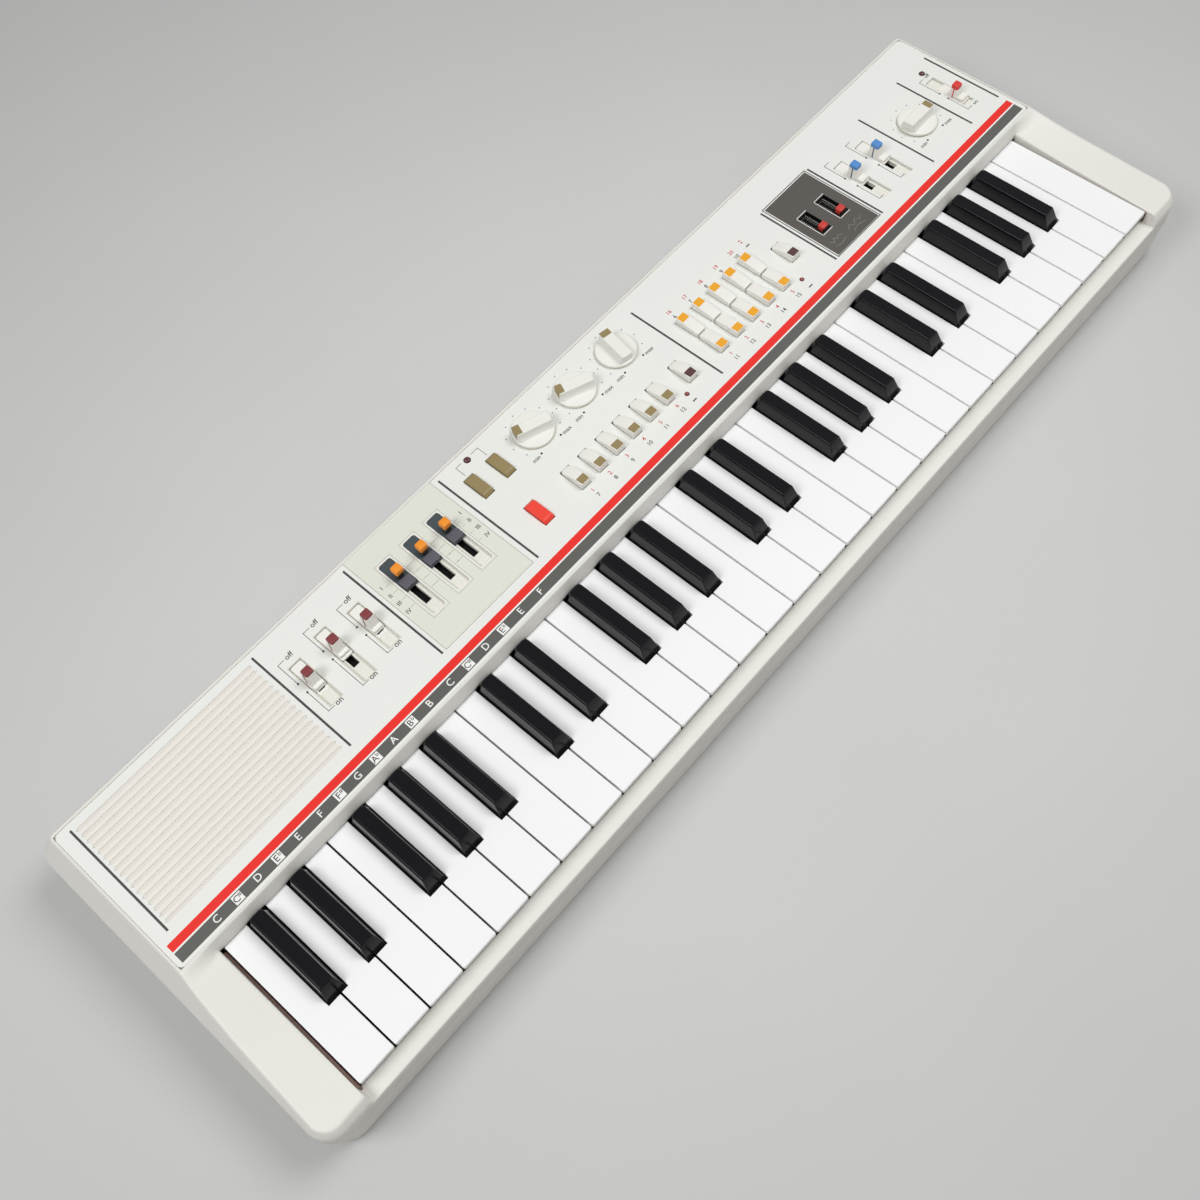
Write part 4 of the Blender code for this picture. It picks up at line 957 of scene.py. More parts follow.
    def height(self, x: float, y: float, inset: float) -> float:
        """Height of the shell's outer face at a place.

        Args:
            x: The place's X.
            y: The place's Y.
            inset: How far the place lies inside the widest outline.

        Returns:
            The height.
        """
        distance = (y - self.frame.key_front) / MM
        flank = self.flank_start + inset / self.flank_slope
        if inset < self.shoulder_width:
            share = 1 - inset / self.shoulder_width
            flank -= self.shoulder_drop * (1 - math.sqrt(max(0.0, 1 - share * share)))
        height = self.smooth_min(self.frame.case_high.z, flank)
        if distance >= self.cheek_line[-1][0] - self.softness:
            return height
        if abs(x) < self.well_half - 0.1 * MM and distance < self.well_rear - 0.05:
            to_well = self.frame.behind(self.well_front) - y
            return min(height, self.rail_z) - self.fillet(inset) - self.fillet(to_well)
        height = self.smooth_min(height, self.cheek(x, distance))
        if distance < self.well_rear:
            return height - self.fillet(abs(x) - self.well_half)
        if abs(x) <= self.well_half:
            return height - self.fillet(y - self.frame.behind(self.well_rear))
        return height

    def cheek(self, x: float, distance: float) -> float:
        """Height of the cheek's or lip's face, which softens away from the keys.

        Args:
            x: The place's X.
            distance: Its distance behind the key fronts in millimetres.

        Returns:
            The height.
        """
        beyond = max(0.0, abs(x) - self.well_half) / MM
        reach = self.softness * min(1.0, beyond / self.softness)
        samples = [distance + reach * step / 4 for step in range(-4, 5)]
        return sum(self.crisp_cheek(x, sample) for sample in samples) / len(samples)

    def crisp_cheek(self, x: float, distance: float) -> float:
        """Height of the cheek's face by its line, which twists from its inner to its outer edge.

        Args:
            x: The place's X.
            distance: Its distance behind the key fronts in millimetres.

        Returns:
            The height.
        """
        index = 0
        while index < len(self.cheek_line) - 2 and distance > self.cheek_line[index + 1][0]:
            index += 1
        before, after = self.cheek_line[index:index + 2]
        share = (distance - before[0]) / (after[0] - before[0])
        inner = self.frame.key_top + (before[1] + (after[1] - before[1]) * share) * MM
        outer = self.frame.key_top + (before[2] + (after[2] - before[2]) * share) * MM
        outer_x = self.frame.case_high.x - (outer - self.flank_start) * self.flank_slope
        across = max(0.0, abs(x) - self.well_half) / (outer_x - self.well_half)
        return inner + (outer - inner) * across

    def smooth_min(self, first: float, second: float) -> float:
        """The lower of two heights, with a round passage where they meet."""
        near = max(self.blend - abs(first - second), 0.0) / self.blend
        return min(first, second) - near * near * self.blend / 4

    def fillet(self, away: float) -> float:
        """How far a quarter-round edge has dropped at a distance from it."""
        share = 1 - min(1.0, max(0.0, away) / self.edge_radius)
        return self.edge_radius * (1 - math.sqrt(max(0.0, 1 - share * share)))

    def drop_edges(self, shape: Shape) -> None:
        """Adds the skirt, the well's walls, the lip's edge and the recess's rim.

        Args:
            shape: The shell's mesh, with open edges round its outside and openings.
        """
        near = 0.01 * MM
        well_front = self.frame.behind(self.well_front)
        well_rear = self.frame.behind(self.well_rear)
        recess_end = self.frame.case_high.y - self.corner / 2
        groups: dict[float, list[bmesh.types.BMEdge]] = {}
        for edge in [edge for edge in shape.edges if edge.is_boundary]:
            middle = (edge.verts[0].co + edge.verts[1].co) / 2
            bottom = self.frame.case_low.z
            if abs(middle.x) <= self.well_half + near and well_front - near <= middle.y <= well_rear + near:
                if middle.y > well_rear - near:
                    bottom = self.lip_bottom
            elif abs(middle.x) <= self.recess_half + near and well_rear < middle.y < recess_end:
                bottom = self.deck_top
            groups.setdefault(bottom, []).append(edge)
        for bottom, edges in groups.items():
            result = bmesh.ops.extrude_edge_only(shape, edges=edges)
            for element in result["geom"]:
                if isinstance(element, bmesh.types.BMVert):
                    element.co.z = bottom
        bmesh.ops.recalc_face_normals(shape, faces=shape.faces)
        top = max(shape.faces, key=lambda face: face.calc_center_median().z)
        if top.normal.z < 0:
            bmesh.ops.reverse_faces(shape, faces=shape.faces)

    def make_deck(self) -> None:
        """Makes the deck under the plate with its slots and openings."""
        side = self.recess_half + self.deck_reach
        shape = bmesh.new()
        add_box(shape, (-side, self.frame.behind(self.recess_front) - self.deck_reach, self.deck_bottom),
                (side, self.frame.behind(self.recess_rear) + self.deck_reach, self.deck_top))
        deck = make_object("panel_deck", shape, Finishes.DECK, 30)
        holes = bmesh.new()
        levels = (self.deck_bottom - MM, self.deck_top + MM)
        for control in SLIDES:
            self.frame.add_block(holes, (control.x - 1.9, control.x + 1.9), control.stem_run(), levels)
        for node in LOW_BUTTONS:
            lap = Vector((1.2 * MM, 1.2 * MM, 0.0))
            low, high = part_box(node)
            add_box(holes, (*(low + lap).xy, levels[0]), (*(high - lap).xy, levels[1]))
        for row in ROWS:
            reach = row.length / 2 + 0.3
            for x, y, _ in (*row.caps, row.select):
                self.frame.add_block(holes, (x - 3.2, x + 3.2), (y - reach, y + reach), levels)
        for knob in KNOBS:
            add_prism(holes, disc_outline(*self.frame.spot(knob.x, knob.y), 3.5 * MM), *levels)
        for lamp in LAMPS:
            radius = (lamp.radius + 0.3) * MM
            add_prism(holes, disc_outline(*self.frame.spot(lamp.x, lamp.y), radius), *levels)
        low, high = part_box("loudspeaker")
        middle = (low + high) / 2
        for index in range(-7, 8):
            offset = GRILLE.pitch * MM * index
            half = math.sqrt((28 * MM) ** 2 - offset ** 2)
            add_box(holes, (middle.x - half, middle.y + offset - 0.85 * MM, levels[0]),
                    (middle.x + half, middle.y + offset + 0.05 * MM, levels[1]))
        cut_out(deck, holes)
        self.frame.settle(deck, "upper_case")


class ScrewTree(Tree):
    """A cross-headed screw on every point."""

    def __init__(self) -> None:
        """Builds the tree."""
        super().__init__("cross_headed_screws", ("Head Radius", "Head Height", "Slot Width"))
        radius, height, width = (self.entry[name] for name in ("Head Radius", "Head Height", "Slot Width"))
        head = self.add("GeometryNodeMeshCylinder", {"Vertices": 24, "Radius": radius, "Depth": height})
        cut = self.add("GeometryNodeMeshBoolean", {"Mesh 1": head}, operation="DIFFERENCE")
        for across, along in ((radius, width), (width, radius)):
            size = self.add("ShaderNodeCombineXYZ", {"X": across, "Y": along, "Z": height})
            bar = self.add("GeometryNodeMeshCube", {"Size": size})
            lowered = self.add("GeometryNodeTransform", {
                "Translation": (0.0, 0.0, -0.5 * MM), "Geometry": bar})
            self.fill(cut, {"Mesh 2": lowered})
        self.end(self.entry["Geometry"], cut, Finishes.STEEL)


@dataclass
class LowerCase:
    """The lower case with its cover, feet and screws."""

    frame: Frame
    floor: float = 2 * MM
    foot_radius: float = 7.5 * MM
    foot_height: float = 1.9 * MM
    foot_recess: float = 0.3 * MM
    foot_places: Point = (39 * MM, 18 * MM)
    pad_width: float = 0.9 * MM
    well_radius: float = 3.0 * MM
    well_depth: float = 2.2 * MM
    head_height: float = 1.2 * MM
    ridges: int = 6
    ridge_pitch: float = 2.2 * MM

    def build(self) -> None:
        """Rounds the tub and the cover, and makes the screw wells, screws and feet."""
        tub = self.frame.copy_of("lower_case", Finishes.BASE)
        wells = bmesh.new()
        for x, y in self.screw_places():
            add_prism(wells, disc_outline(x, y, self.well_radius), -MM, self.floor + self.well_depth)
        cut_out(tub, wells)
        for point in tub.data.vertices:
            if point.co.z < self.foot_recess / 2:
                point.co.z = self.foot_recess
        add_bevel(tub, 0.35 * MM)
        self.frame.settle(tub, "lower_case", True)
        self.frame.refine("battery_cover", Finishes.BASE, 0.25 * MM, 2)
        self.make_feet()
        self.make_screws()
        self.make_cover_grip()
        LOG.info("lower case")

    def screw_places(self) -> list[Point]:
        """Places of the screws that join the case halves, in metres.

        Returns:
            X and Y of each screw.
        """
        half = self.frame.case_high.x
        places = [(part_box("loudspeaker")[1].x + 8 * MM, self.frame.behind(160))]
        for side in (-1, 1):
            places += [(side * (half - 12 * MM), self.frame.behind(150)),
                       (side * (half - 13.5 * MM), self.frame.behind(10))]
        return places

    def make_screws(self) -> None:
        """Sets a cross-headed screw into each well with a node tree."""
        height = self.floor + self.well_depth - self.head_height / 2
        values = {"Head Radius": self.well_radius - 0.4 * MM, "Head Height": self.head_height,
                  "Slot Width": 0.7 * MM}
        screws = ScrewTree().run(values, raised(self.screw_places(), height))
        self.frame.add_mesh("case_screws", screws, Finishes.STEEL, "lower_case")

    def make_cover_grip(self) -> None:
        """Makes the small ridges on the battery cover that a thumb pushes."""
        low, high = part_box("battery_cover")
        middle = (low.x + high.x) / 2
        shape = bmesh.new()
        for index in range(self.ridges):
            y = high.y - 8 * MM - self.ridge_pitch * index
            add_box(shape, (middle - 12 * MM, y - 0.5 * MM, low.z - 0.6 * MM),
                    (middle + 12 * MM, y + 0.5 * MM, low.z + 0.2 * MM))
        self.frame.add("battery_cover_grip", shape, Finishes.BASE, "battery_cover", bevel=(0.25 * MM,))

    def make_feet(self) -> None:
        """Makes a rubber pad round each foot."""
        wide = self.foot_radius + self.pad_width
        levels = ((self.foot_radius, 0.0), (wide, 0.7 * MM), (wide, self.foot_height))
        shape = bmesh.new()
        for side in (-1, 1):
            for end in (-1, 1):
                x = side * (self.frame.case_high.x - self.foot_places[0])
                y = end * (self.frame.case_high.y - self.foot_places[1])
                add_loft(shape, [raised(disc_outline(x, y, radius, 28), height) for radius, height in levels])
        self.frame.add("rubber_feet", shape, Finishes.FOOT, "lower_case", 30)


@dataclass(frozen=True)
class TabLook:
    """How a group of slide controls is shaped and coloured, in millimetres.

    The tab's size is its width, length and height; its foot spreads sideways, to the front and to the rear.
    """

    cap: Finishes
    cap_height: float
    size: Place
    pad_span: Point
    pad_half: float
    spread: Place = (0.0, 0.0, 0.0)
    # Colour of a thin strip down the tab's left edge: painted shade for the dark line there
    core: Finishes | None = None
    body: Finishes = Finishes.CONTROL_WHITE
    block: Finishes = Finishes.CONTROL_WHITE
    pad: Finishes = Finishes.CONTROL_WHITE
    width: float = 7.0


class TabLooks(Enum):
    """The looks of the slide controls on each field of the panel."""

    CHORD = TabLook(Finishes.DARK_RED, 1.5, (4.7, 4.6, 9.0), (-6.1, -2.3), 2.8, (0.3, 2.4, 0.3),
                    Finishes.DARK_RED)
    VARIATION = TabLook(Finishes.ORANGE, 3.4, (4.7, 4.5, 8.0), (-8.2, -2.7), 3.3, (-0.7, -0.7, -0.7), None,
                        Finishes.SLIDER_NECK, Finishes.SLIDER_TEAL, Finishes.SLIDER_PAD, 7.9)
    FIELD = TabLook(Finishes.FIELD_RED, 3.4, (4.5, 4.0, 2.7), (-2.2, 2.2), 2.2, body=Finishes.SLOT_BLACK,
                    block=Finishes.SLOT_BLACK, pad=Finishes.SLOT_BLACK)
    EFFECT = TabLook(Finishes.BLUE, 2.4, (4.3, 5.0, 8.0), (-7.4, -2.4), 2.8, (0.7, 2.2, 0.4),
                     Finishes.BLUE_SHADE)
    POWER = TabLook(Finishes.RED, 2.6, (4.4, 4.1, 7.5), (-6.6, -2.2), 2.8, (0.6, 2.0, 0.4), Finishes.RED)


@dataclass(frozen=True)
class Slide:
    """A slide control: its places in millimetres, behind the key fronts along Y."""

    node: str
    x: float
    cap_y: float
    travel: float
    recess: Point
    block: Point
    looks: TabLooks

    def stem_run(self) -> Point:
        """Front and rear end of the slot for the stem."""
        ends = (self.cap_y, self.cap_y + self.travel)
        return min(ends) - 2.9, max(ends) + 2.9


SLIDES = (
    Slide("manual_bass_switch", -177.9, 136.9, -5.0, (121.0, 148.2), (130.6, 147.8), TabLooks.CHORD),
    Slide("chord_mode_switch", -159.9, 139.8, -10.0, (118.0, 151.0), (132.4, 150.6), TabLooks.CHORD),
    Slide("arpeggio_switch", -141.8, 136.9, -5.0, (121.0, 148.2), (130.6, 147.8), TabLooks.CHORD),
    Slide("bass_slider", -116.6, 143.4, -16.0, (117.0, 154.0), (135.0, 153.6), TabLooks.VARIATION),
    Slide("chord_slider", -100.9, 143.4, -16.0, (117.0, 154.0), (135.0, 153.6), TabLooks.VARIATION),
    Slide("arpeggio_slider", -85.5, 143.4, -16.0, (117.0, 154.0), (135.0, 153.6), TabLooks.VARIATION),
    Slide("field_switch_left", 166.0, 118.5, 10.0, (115.7, 131.7), (116.1, 121.0), TabLooks.FIELD),
    Slide("field_switch_right", 180.5, 118.5, 10.0, (115.7, 131.7), (116.1, 121.0), TabLooks.FIELD),
    Slide("effect_switch_left", 204.8, 127.7, -10.0, (106.0, 138.6), (119.8, 138.2), TabLooks.EFFECT),
    Slide("effect_switch_right", 223.2, 127.7, -10.0, (106.0, 138.6), (119.8, 138.2), TabLooks.EFFECT),
    Slide("power_switch", 284.0, 119.8, 5.0, (110.0, 136.5), (112.5, 129.0), TabLooks.POWER),
)


@dataclass(frozen=True)
class Knob:
    """A turning knob: its centre in millimetres and where its pointer stands."""

    node: str
    x: float
    y: float
    angle: float


KNOBS = (
    Knob("tempo_knob", -19.9, 149.5, 160.0),
    Knob("accompaniment_knob", 10.3, 149.5, 158.0),
    Knob("rhythm_knob", 40.4, 149.5, 80.0),
    Knob("volume_knob", 254.7, 123.6, 0.0),
)


@dataclass(frozen=True)
class Lamp:
    """A small lamp in the plate, in millimetres."""

    name: str
    x: float
    y: float
    radius: float
    finish: Finishes = Finishes.LAMP


LAMPS = (
    Lamp("beat_lamp", -51.9, 162.8, 1.6),
    Lamp("power_lamp", 285.9, 142.6, 1.5),
    Lamp("rhythm_lamp", 42.9, 106.2, 1.0, Finishes.SMALL_LAMP),
    Lamp("tone_lamp", 132.7, 106.2, 1.0, Finishes.SMALL_LAMP),
)


@dataclass(frozen=True)
class Row:
    """A row of wedge buttons in millimetres.

    A cap is given by its X, its distance behind the key fronts and its high end: -1 the front, 1 the rear.
    """

    node: str
    length: float
    finish: Finishes
    caps: tuple[tuple[float, float, int], ...]
    select: tuple[float, float, int]


RHYTHM_X = [-26.4 + 12.2 * index for index in range(6)]
TONE_X = [75.0 + 12.2 * index for index in range(5)]
ROWS = (
    Row("rhythm_button_strip", 14.3, Finishes.OLIVE, tuple((x, 116.3, -1) for x in RHYTHM_X),
        (51.6, 116.3, -1)),
    Row("tone_button_strip", 14.1, Finishes.AMBER,
        tuple((x, y, end) for x in TONE_X for y, end in ((130.7, 1), (115.7, -1))), (141.2, 123.5, -1)),
)
LOW_BUTTONS = {
    "start_button": Finishes.OLIVE,
    "synchro_button": Finishes.OLIVE,
    "fill_in_button": Finishes.BRIGHT_RED,
}


@dataclass(frozen=True)
class Grille:
    """The slots of the loudspeaker's grille, in millimetres."""

    x: float = -241.05
    y: float = 133.0
    count: int = 17
    pitch: float = 3.675
    length: float = 98.5
    width: float = 1.7

    def bars(self, frame: Frame, finish: Finishes, count: int, size: Place, middle: float) -> bpy.types.Mesh:
        """Makes bars at the grille's pitch.

        Args:
            frame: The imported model.
            finish: The finish of the bars.
            count: Their number.
            size: The length, width and height of one.
            middle: The height of their middle over the plate's face.

        Returns:
            The bars in their place.
        """
        bars = BarTree(finish).run({"Count": count, "Pitch": self.pitch * MM, "Length": size[0] * MM,
                                    "Width": size[1] * MM, "Height": size[2] * MM})
        start = self.y - self.pitch * (count - 1) / 2
        bars.transform(Matrix.Translation(frame.over(self.x, start, middle)))
        return bars


GRILLE = Grille()


@dataclass
class SlideControls:
    """The slide controls with their blocks, tabs and coloured caps, and the beds that they run in."""

    frame: Frame
    play: float = 0.3
    block_thickness: float = 1.2
    pad_height: float = 1.7
    shade_strip_width: float = 0.55
    shade_strip_reach: float = 0.14
    bed_ridges: int = 15
    # Furthest travel of a switch that has a shelf under its block
    shelf_travel: float = -6.0

    def build(self) -> None:
        """Builds every slide control and recess."""
        for control in SLIDES:
            self.make_block(control)
            if control.looks is TabLooks.CHORD and control.travel > self.shelf_travel:
                self.make_shelf(control)
            self.make_pad(control)
            self.make_tab(control)
        self.make_rims()
        self.make_ridged_beds()
        LOG.info("%d slide controls", len(SLIDES))

    def make_block(self, control: Slide) -> None:
        """Makes the flat block that slides in the plate's recess, and its stem.

        Args:
            control: The slide control.
        """
        look = control.looks.value
        half = look.width / 2 - self.play
        block = bmesh.new()
        add_prism(block, self.frame.outline((control.x - half, control.x + half), control.block, 0.9, 4),
                  self.frame.rise(-self.block_thickness), self.frame.rise(-0.05))
        self.frame.add(control.node + "_block", block, look.block, control.node, bevel=(0.2 * MM,),
                       instead=True)
        stem = bmesh.new()
        self.frame.add_block(stem, (control.x - 1.6, control.x + 1.6),
                             (control.cap_y - 2.3, control.cap_y + 2.3),
                             (self.frame.rise(-4.9), self.frame.rise(-0.6)))
        self.frame.add(control.node + "_stem", stem, look.block, control.node)

    def make_pad(self, control: Slide) -> None:
        """Makes the raised pad on a block, where a finger pushes.

        Args:
            control: The slide control.
        """
        look = control.looks.value
        front, rear = (control.cap_y + end for end in look.pad_span)
        sides = (control.x - look.pad_half, control.x + look.pad_half)
        pad = bmesh.new()
        add_prism(pad, self.frame.outline(sides, (front, rear), 0.6, 3), self.frame.rise(-0.1),
                  self.frame.rise(self.pad_height))
        self.frame.add(control.node + "_pad", pad, look.pad, control.node, bevel=(0.3 * MM, 3))

    def make_shelf(self, control: Slide) -> None:
        """Makes the thin white shelf under a block's front end, which closes the slot before it.

        Args:
            control: The slide control.
        """
        front = control.block[0]
        start = control.stem_run()[0] - 0.3
        low = -1.65
        shape = bmesh.new()
        self.frame.add_block(shape, (control.x - 3.1, control.x + 3.1), (start, front - 0.45),
                             (self.frame.rise(low), self.frame.rise(low + 0.35)))
        for side in (-1, 1):
            self.frame.add_block(shape, sorted((control.x + side * 1.9, control.x + side * 3.1)),
                                 (front - 0.5, front + 2.0),
                                 (self.frame.rise(low), self.frame.rise(low + 0.45)))
        self.frame.add(control.node + "_shelf", shape, Finishes.BED_WHITE, control.node)

    def stacked(self, control: Slide, levels: Iterable[tuple[float, Sequence[Point]]]) -> Shape:
        """Joins outlines about the middle of a control's tab.

        Args:
            control: The slide control.
            levels: The height over the plate of each outline, and the outline, in millimetres.

        Returns:
            The mesh under construction.
        """
        shape = bmesh.new()
        add_loft(shape, [[self.frame.over(control.x + x, control.cap_y + y, height) for x, y in outline]
                         for height, outline in levels])
        return shape

    def make_tab(self, control: Slide) -> None:
        """Makes the standing tab, its coloured cap and a thin coloured strip down its left edge, which is
        painted shade.

        Args:
            control: The slide control.
        """
        look = control.looks.value
        node = control.node
        width, length, rise = look.size
        aside, ahead, back = look.spread
        joint = rise - look.cap_height
        if joint > 0.2:
            levels = []
            for height, share in ((-0.1, 1.0), (joint + 0.1, 0.3 if aside < 0 else 0.0)):
                side = width / 2 + aside * share
                levels.append((height, corners((-side, side), (-length / 2 - ahead * share,
                                                               length / 2 + back * share))))
            tab = self.stacked(control, levels)
            self.frame.add(node + "_tab", tab, look.body, node, bevel=(0.35 * MM, 3))
        # Painted shade: a thin strip down the tab's left edge stands for the dark line seen there
        if look.core is not None:
            half = self.shade_strip_width / 2
            levels = []
            for height, side in ((0.0, width / 2 + aside), (joint + 0.3, width / 2)):
                reach = side + self.shade_strip_reach
                levels.append((height, corners((-reach, 0.5 - reach), (-half, half))))
            self.frame.add(node + "_core", self.stacked(control, levels), look.core, node)
        levels = []
        for height, inset in ((max(joint, -0.1), 0.15), (joint + 0.4, 0.0), (rise - 0.7, 0.05),
                              (rise - 0.2, 0.25), (rise, 0.75)):
            levels.append((height, rounded_outline((inset - width / 2, inset - length / 2),
                                                   (width / 2 - inset, length / 2 - inset),
                                                   0.75 - min(inset, 0.35), 5)))
        self.frame.add(node + "_cap", self.stacked(control, levels), look.cap, node, 50)

    def make_rims(self) -> None:
        """Makes the raised white rims round the three long recesses."""
        rims = bmesh.new()
        for control in (control for control in SLIDES if control.looks is TabLooks.VARIATION):
            half = control.looks.value.width / 2
            front, rear = control.recess
            outer, inner = (self.frame.outline((control.x - half - reach, control.x + half + reach),
                                               (front - reach, rear + reach), radius)
                            for reach, radius in ((0.75, 2.1), (-0.15, 1.3)))
            add_ring(rims, outer, inner, self.frame.rise(-0.05), self.frame.rise(0.28))
        self.frame.add("slider_rims", rims, Finishes.BED_WHITE, PANEL, bevel=(0.18 * MM,))

    def make_ridged_beds(self) -> None:
        """Makes the black ridged beds of the two switches on the dark field."""
        tree = BarTree(Finishes.SLOT_BLACK)
        low = -1.75
        for control in (control for control in SLIDES if control.looks is TabLooks.FIELD):
            front, rear = control.recess
            shape = bmesh.new()
            for side in (-1, 1):
                self.frame.add_block(shape, sorted((control.x + side * 2.1, control.x + side * 3.4)),
                                     (front + 0.1, rear - 0.1),
                                     (self.frame.rise(low), self.frame.rise(low + 0.25)))
            pitch = (rear - front - 1.0) / (self.bed_ridges - 1) * MM
            bars = tree.run({"Count": self.bed_ridges, "Pitch": pitch, "Length": 6.7 * MM,
                             "Width": 0.5 * MM, "Height": 0.3 * MM})
            bars.transform(Matrix.Translation(self.frame.over(control.x, front + 0.5, low + 0.3)))
            shape.from_mesh(bars)
            outer, inner = (self.frame.outline((control.x - 3.48 + inset, control.x + 3.48 - inset),
                                               (front + 0.02 + inset, rear - 0.02 - inset), 0.05, 2)
                            for inset in (0.0, 0.2))
            add_ring(shape, outer, inner, self.frame.rise(-1.7), self.frame.rise(0.03))
            self.frame.add(control.node + "_bed", shape, Finishes.SLOT_BLACK, PANEL)


@dataclass
class Knobs:
    """The turning knobs with their skirts, grips and pointer marks."""

    frame: Frame
    sides: int = 72
    skirt_radius: float = 10.6
    skirt_height: float = 1.7
    skirt_round: float = 0.7
    grip_width: float = 6.2
    grip_length: float = 19.2
    grip_height: float = 6.6
    # Heights of the grip's outlines over the skirt's foot, and how far they flare out
    grip_levels: tuple[Point, ...] = (
        (0.8, 3.2), (1.5, 2.2), (2.3, 1.3), (3.2, 0.75), (4.2, 0.4), (5.4, 0.15), (6.6, 0.0))

    def build(self) -> None:
        """Builds every knob."""
        for knob in KNOBS:
            self.make_skirt(knob)
            self.make_grip(knob)
        LOG.info("%d knobs", len(KNOBS))

    def place(self, knob: Knob) -> Matrix:
        """The knob's own axes: X along its pointer, origin on the plate."""
        base = Matrix.Translation(self.frame.over(knob.x, knob.y, 0.3))
        return base @ Matrix.Rotation(math.radians(knob.angle), 4, "Z") @ Matrix.Scale(MM, 4)

    def make_skirt(self, knob: Knob) -> None:
        """Makes the round skirt with its rounded rim, slightly crowned top and stem.

        Args:
            knob: The knob.
        """
        profile = [(3.0, -4.6), (3.0, 0.0), (self.skirt_radius - 0.4, 0.0), (self.skirt_radius, 0.3)]
        for step in range(1, 6):
            angle = math.pi / 2 * step / 5
            profile.append((self.skirt_radius - self.skirt_round * (1 - math.cos(angle)),
                            self.skirt_height - self.skirt_round * (1 - math.sin(angle))))
        profile += [(8.0, self.skirt_height + 0.25), (4.0, self.skirt_height + 0.5)]
        skirt = bmesh.new()
        add_loft(skirt, [raised(disc_outline(0.0, 0.0, radius, self.sides), height)
                         for radius, height in profile])
        skirt.transform(self.place(knob))
        self.frame.add(knob.node + "_skirt", skirt, Finishes.KNOB_WHITE, knob.node, 50, instead=True)
        rim = bmesh.new()
        outer, inner = (disc_outline(0.0, 0.0, self.skirt_radius + reach, self.sides)
                        for reach in (0.12, -0.5))
        add_ring(rim, outer, inner, 0.35, 0.85)
        rim.transform(self.place(knob))
        self.frame.add(knob.node + "_rim", rim, Finishes.KNOB_RIM, knob.node, 50)

    def make_grip(self, knob: Knob) -> None:
        """Makes the grip across the skirt, with the olive mark at its pointing end.

        Args:
            knob: The knob.
        """
        half = self.grip_width / 2
        reach = self.grip_length / 2
        rings = []
        for height, flare in self.grip_levels:
            draw = 0.35 * flare
            rings.append(raised(rounded_outline((draw - reach, -half - flare), (reach - draw, half + flare),
                                                1.0 + draw, 5), height))
        grip = bmesh.new()
        add_loft(grip, rings)
        grip.transform(self.place(knob))
        self.frame.add(knob.node + "_grip", grip, Finishes.KNOB_WHITE, knob.node, 50, (0.5 * MM, 3, 50))
        mark = bmesh.new()
        add_prism(mark, rounded_outline((reach - 3.6, -half + 0.35), (reach + 0.12, half - 0.35), 0.5, 3),
                  self.grip_height - 3.4, self.grip_height + 0.06)
        mark.transform(self.place(knob))
        self.frame.add(knob.node + "_mark", mark, Finishes.OLIVE, knob.node, bevel=(0.25 * MM,))


@dataclass
class PushButtons:
    """The low buttons and the two rows of wedge buttons with their coloured marks."""

    frame: Frame
    width: float = 5.8
    # Height of a cap's low and high end over the plate, and the corner radius of its low end
    single: Place = (0.4, 4.0, 1.9)
    paired: Place = (2.3, 3.6, 0.5)
    cap_steps: tuple[float, ...] = (0.0, 0.1, 0.3, 0.6, 1.0, 1.5, 2.0, 3.0, 4.5, 6.0, 8.0, 10.0, 12.0)

    def build(self) -> None:
        """Builds every button."""
        for node, finish in LOW_BUTTONS.items():
            self.frame.refine(node, finish, 0.6 * MM, 4)
        for row in ROWS:
            self.make_row(row)
        LOG.info("push buttons")

    def make_row(self, row: Row) -> None:
        """Makes a row of wedge buttons, their web and their marks.

        Args:
            row: The row.
        """
        caps = bmesh.new()
        for cap in (*row.caps, row.select):
            self.add_cap(caps, row.length, *cap)
        self.frame.add(row.node + "_caps", caps, Finishes.CONTROL_WHITE, row.node, 30,
                       (0.35 * MM, 3, 35), True)
        low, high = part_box(row.node)
        web = bmesh.new()
        add_box(web, (low.x, low.y + 1.5 * MM, low.z), (high.x, high.y - 1.5 * MM, low.z + 2 * MM))
        self.frame.add(row.node + "_web", web, Finishes.CONTROL_WHITE, row.node)
        self.make_marks(row, "_marks", row.caps, row.finish)
        self.make_marks(row, "_select_mark", (row.select,), Finishes.DARK_BROWN)

    def profile(self, x: float) -> Place:
        """Low end, high end and corner of the cap at an X."""
        return self.paired if x in TONE_X else self.single

    def add_cap(self, shape: Shape, length: float, x: float, y: float, end: int) -> None:
        """Adds one cap whose low end has round corners.

        Args:
            shape: The mesh under construction.
            length: The cap's length.
            x: The cap's middle.
            y: The middle's distance behind the key fronts.
            end: Its high end: -1 the front, 1 the rear.
        """
        low, high, corner = self.profile(x)
        rings = []
        for place in (*self.cap_steps, length):
            missing = max(0.0, corner - place)
            half = self.width / 2 - corner + math.sqrt(corner ** 2 - missing ** 2)
            along = y + end * (place - length / 2)
            rise = low + (high - low) * math.sin(place / length * math.pi / 2) ** 0.8
            rings.append([self.frame.over(x + side * half, along, height)
                          for side, height in ((1, -5.0), (-1, -5.0), (-1, rise), (1, rise))])
        if end < 0:
            rings.reverse()
        add_loft(shape, rings)

    def make_marks(self, row: Row, ending: str, caps: Iterable[tuple[float, float, int]],
                   finish: Finishes) -> None:
        """Makes the coloured marks let into the high ends of caps.

        Args:
            row: The row of buttons.
            ending: The end of the piece's name.
            caps: The caps that carry a mark.
            finish: The colour.
        """
        shape = bmesh.new()
        for x, y, end in caps:
            far = y + end * (row.length / 2 - 0.2)
            top = self.profile(x)[1]
            outline = self.frame.outline((x - 2.4, x + 2.4), sorted((far, far - end * 4.1)), 0.3, 2)
            add_prism(shape, outline, self.frame.rise(top - 1.0), self.frame.rise(top + 0.08))
        self.frame.add(row.node + ending, shape, finish, row.node)


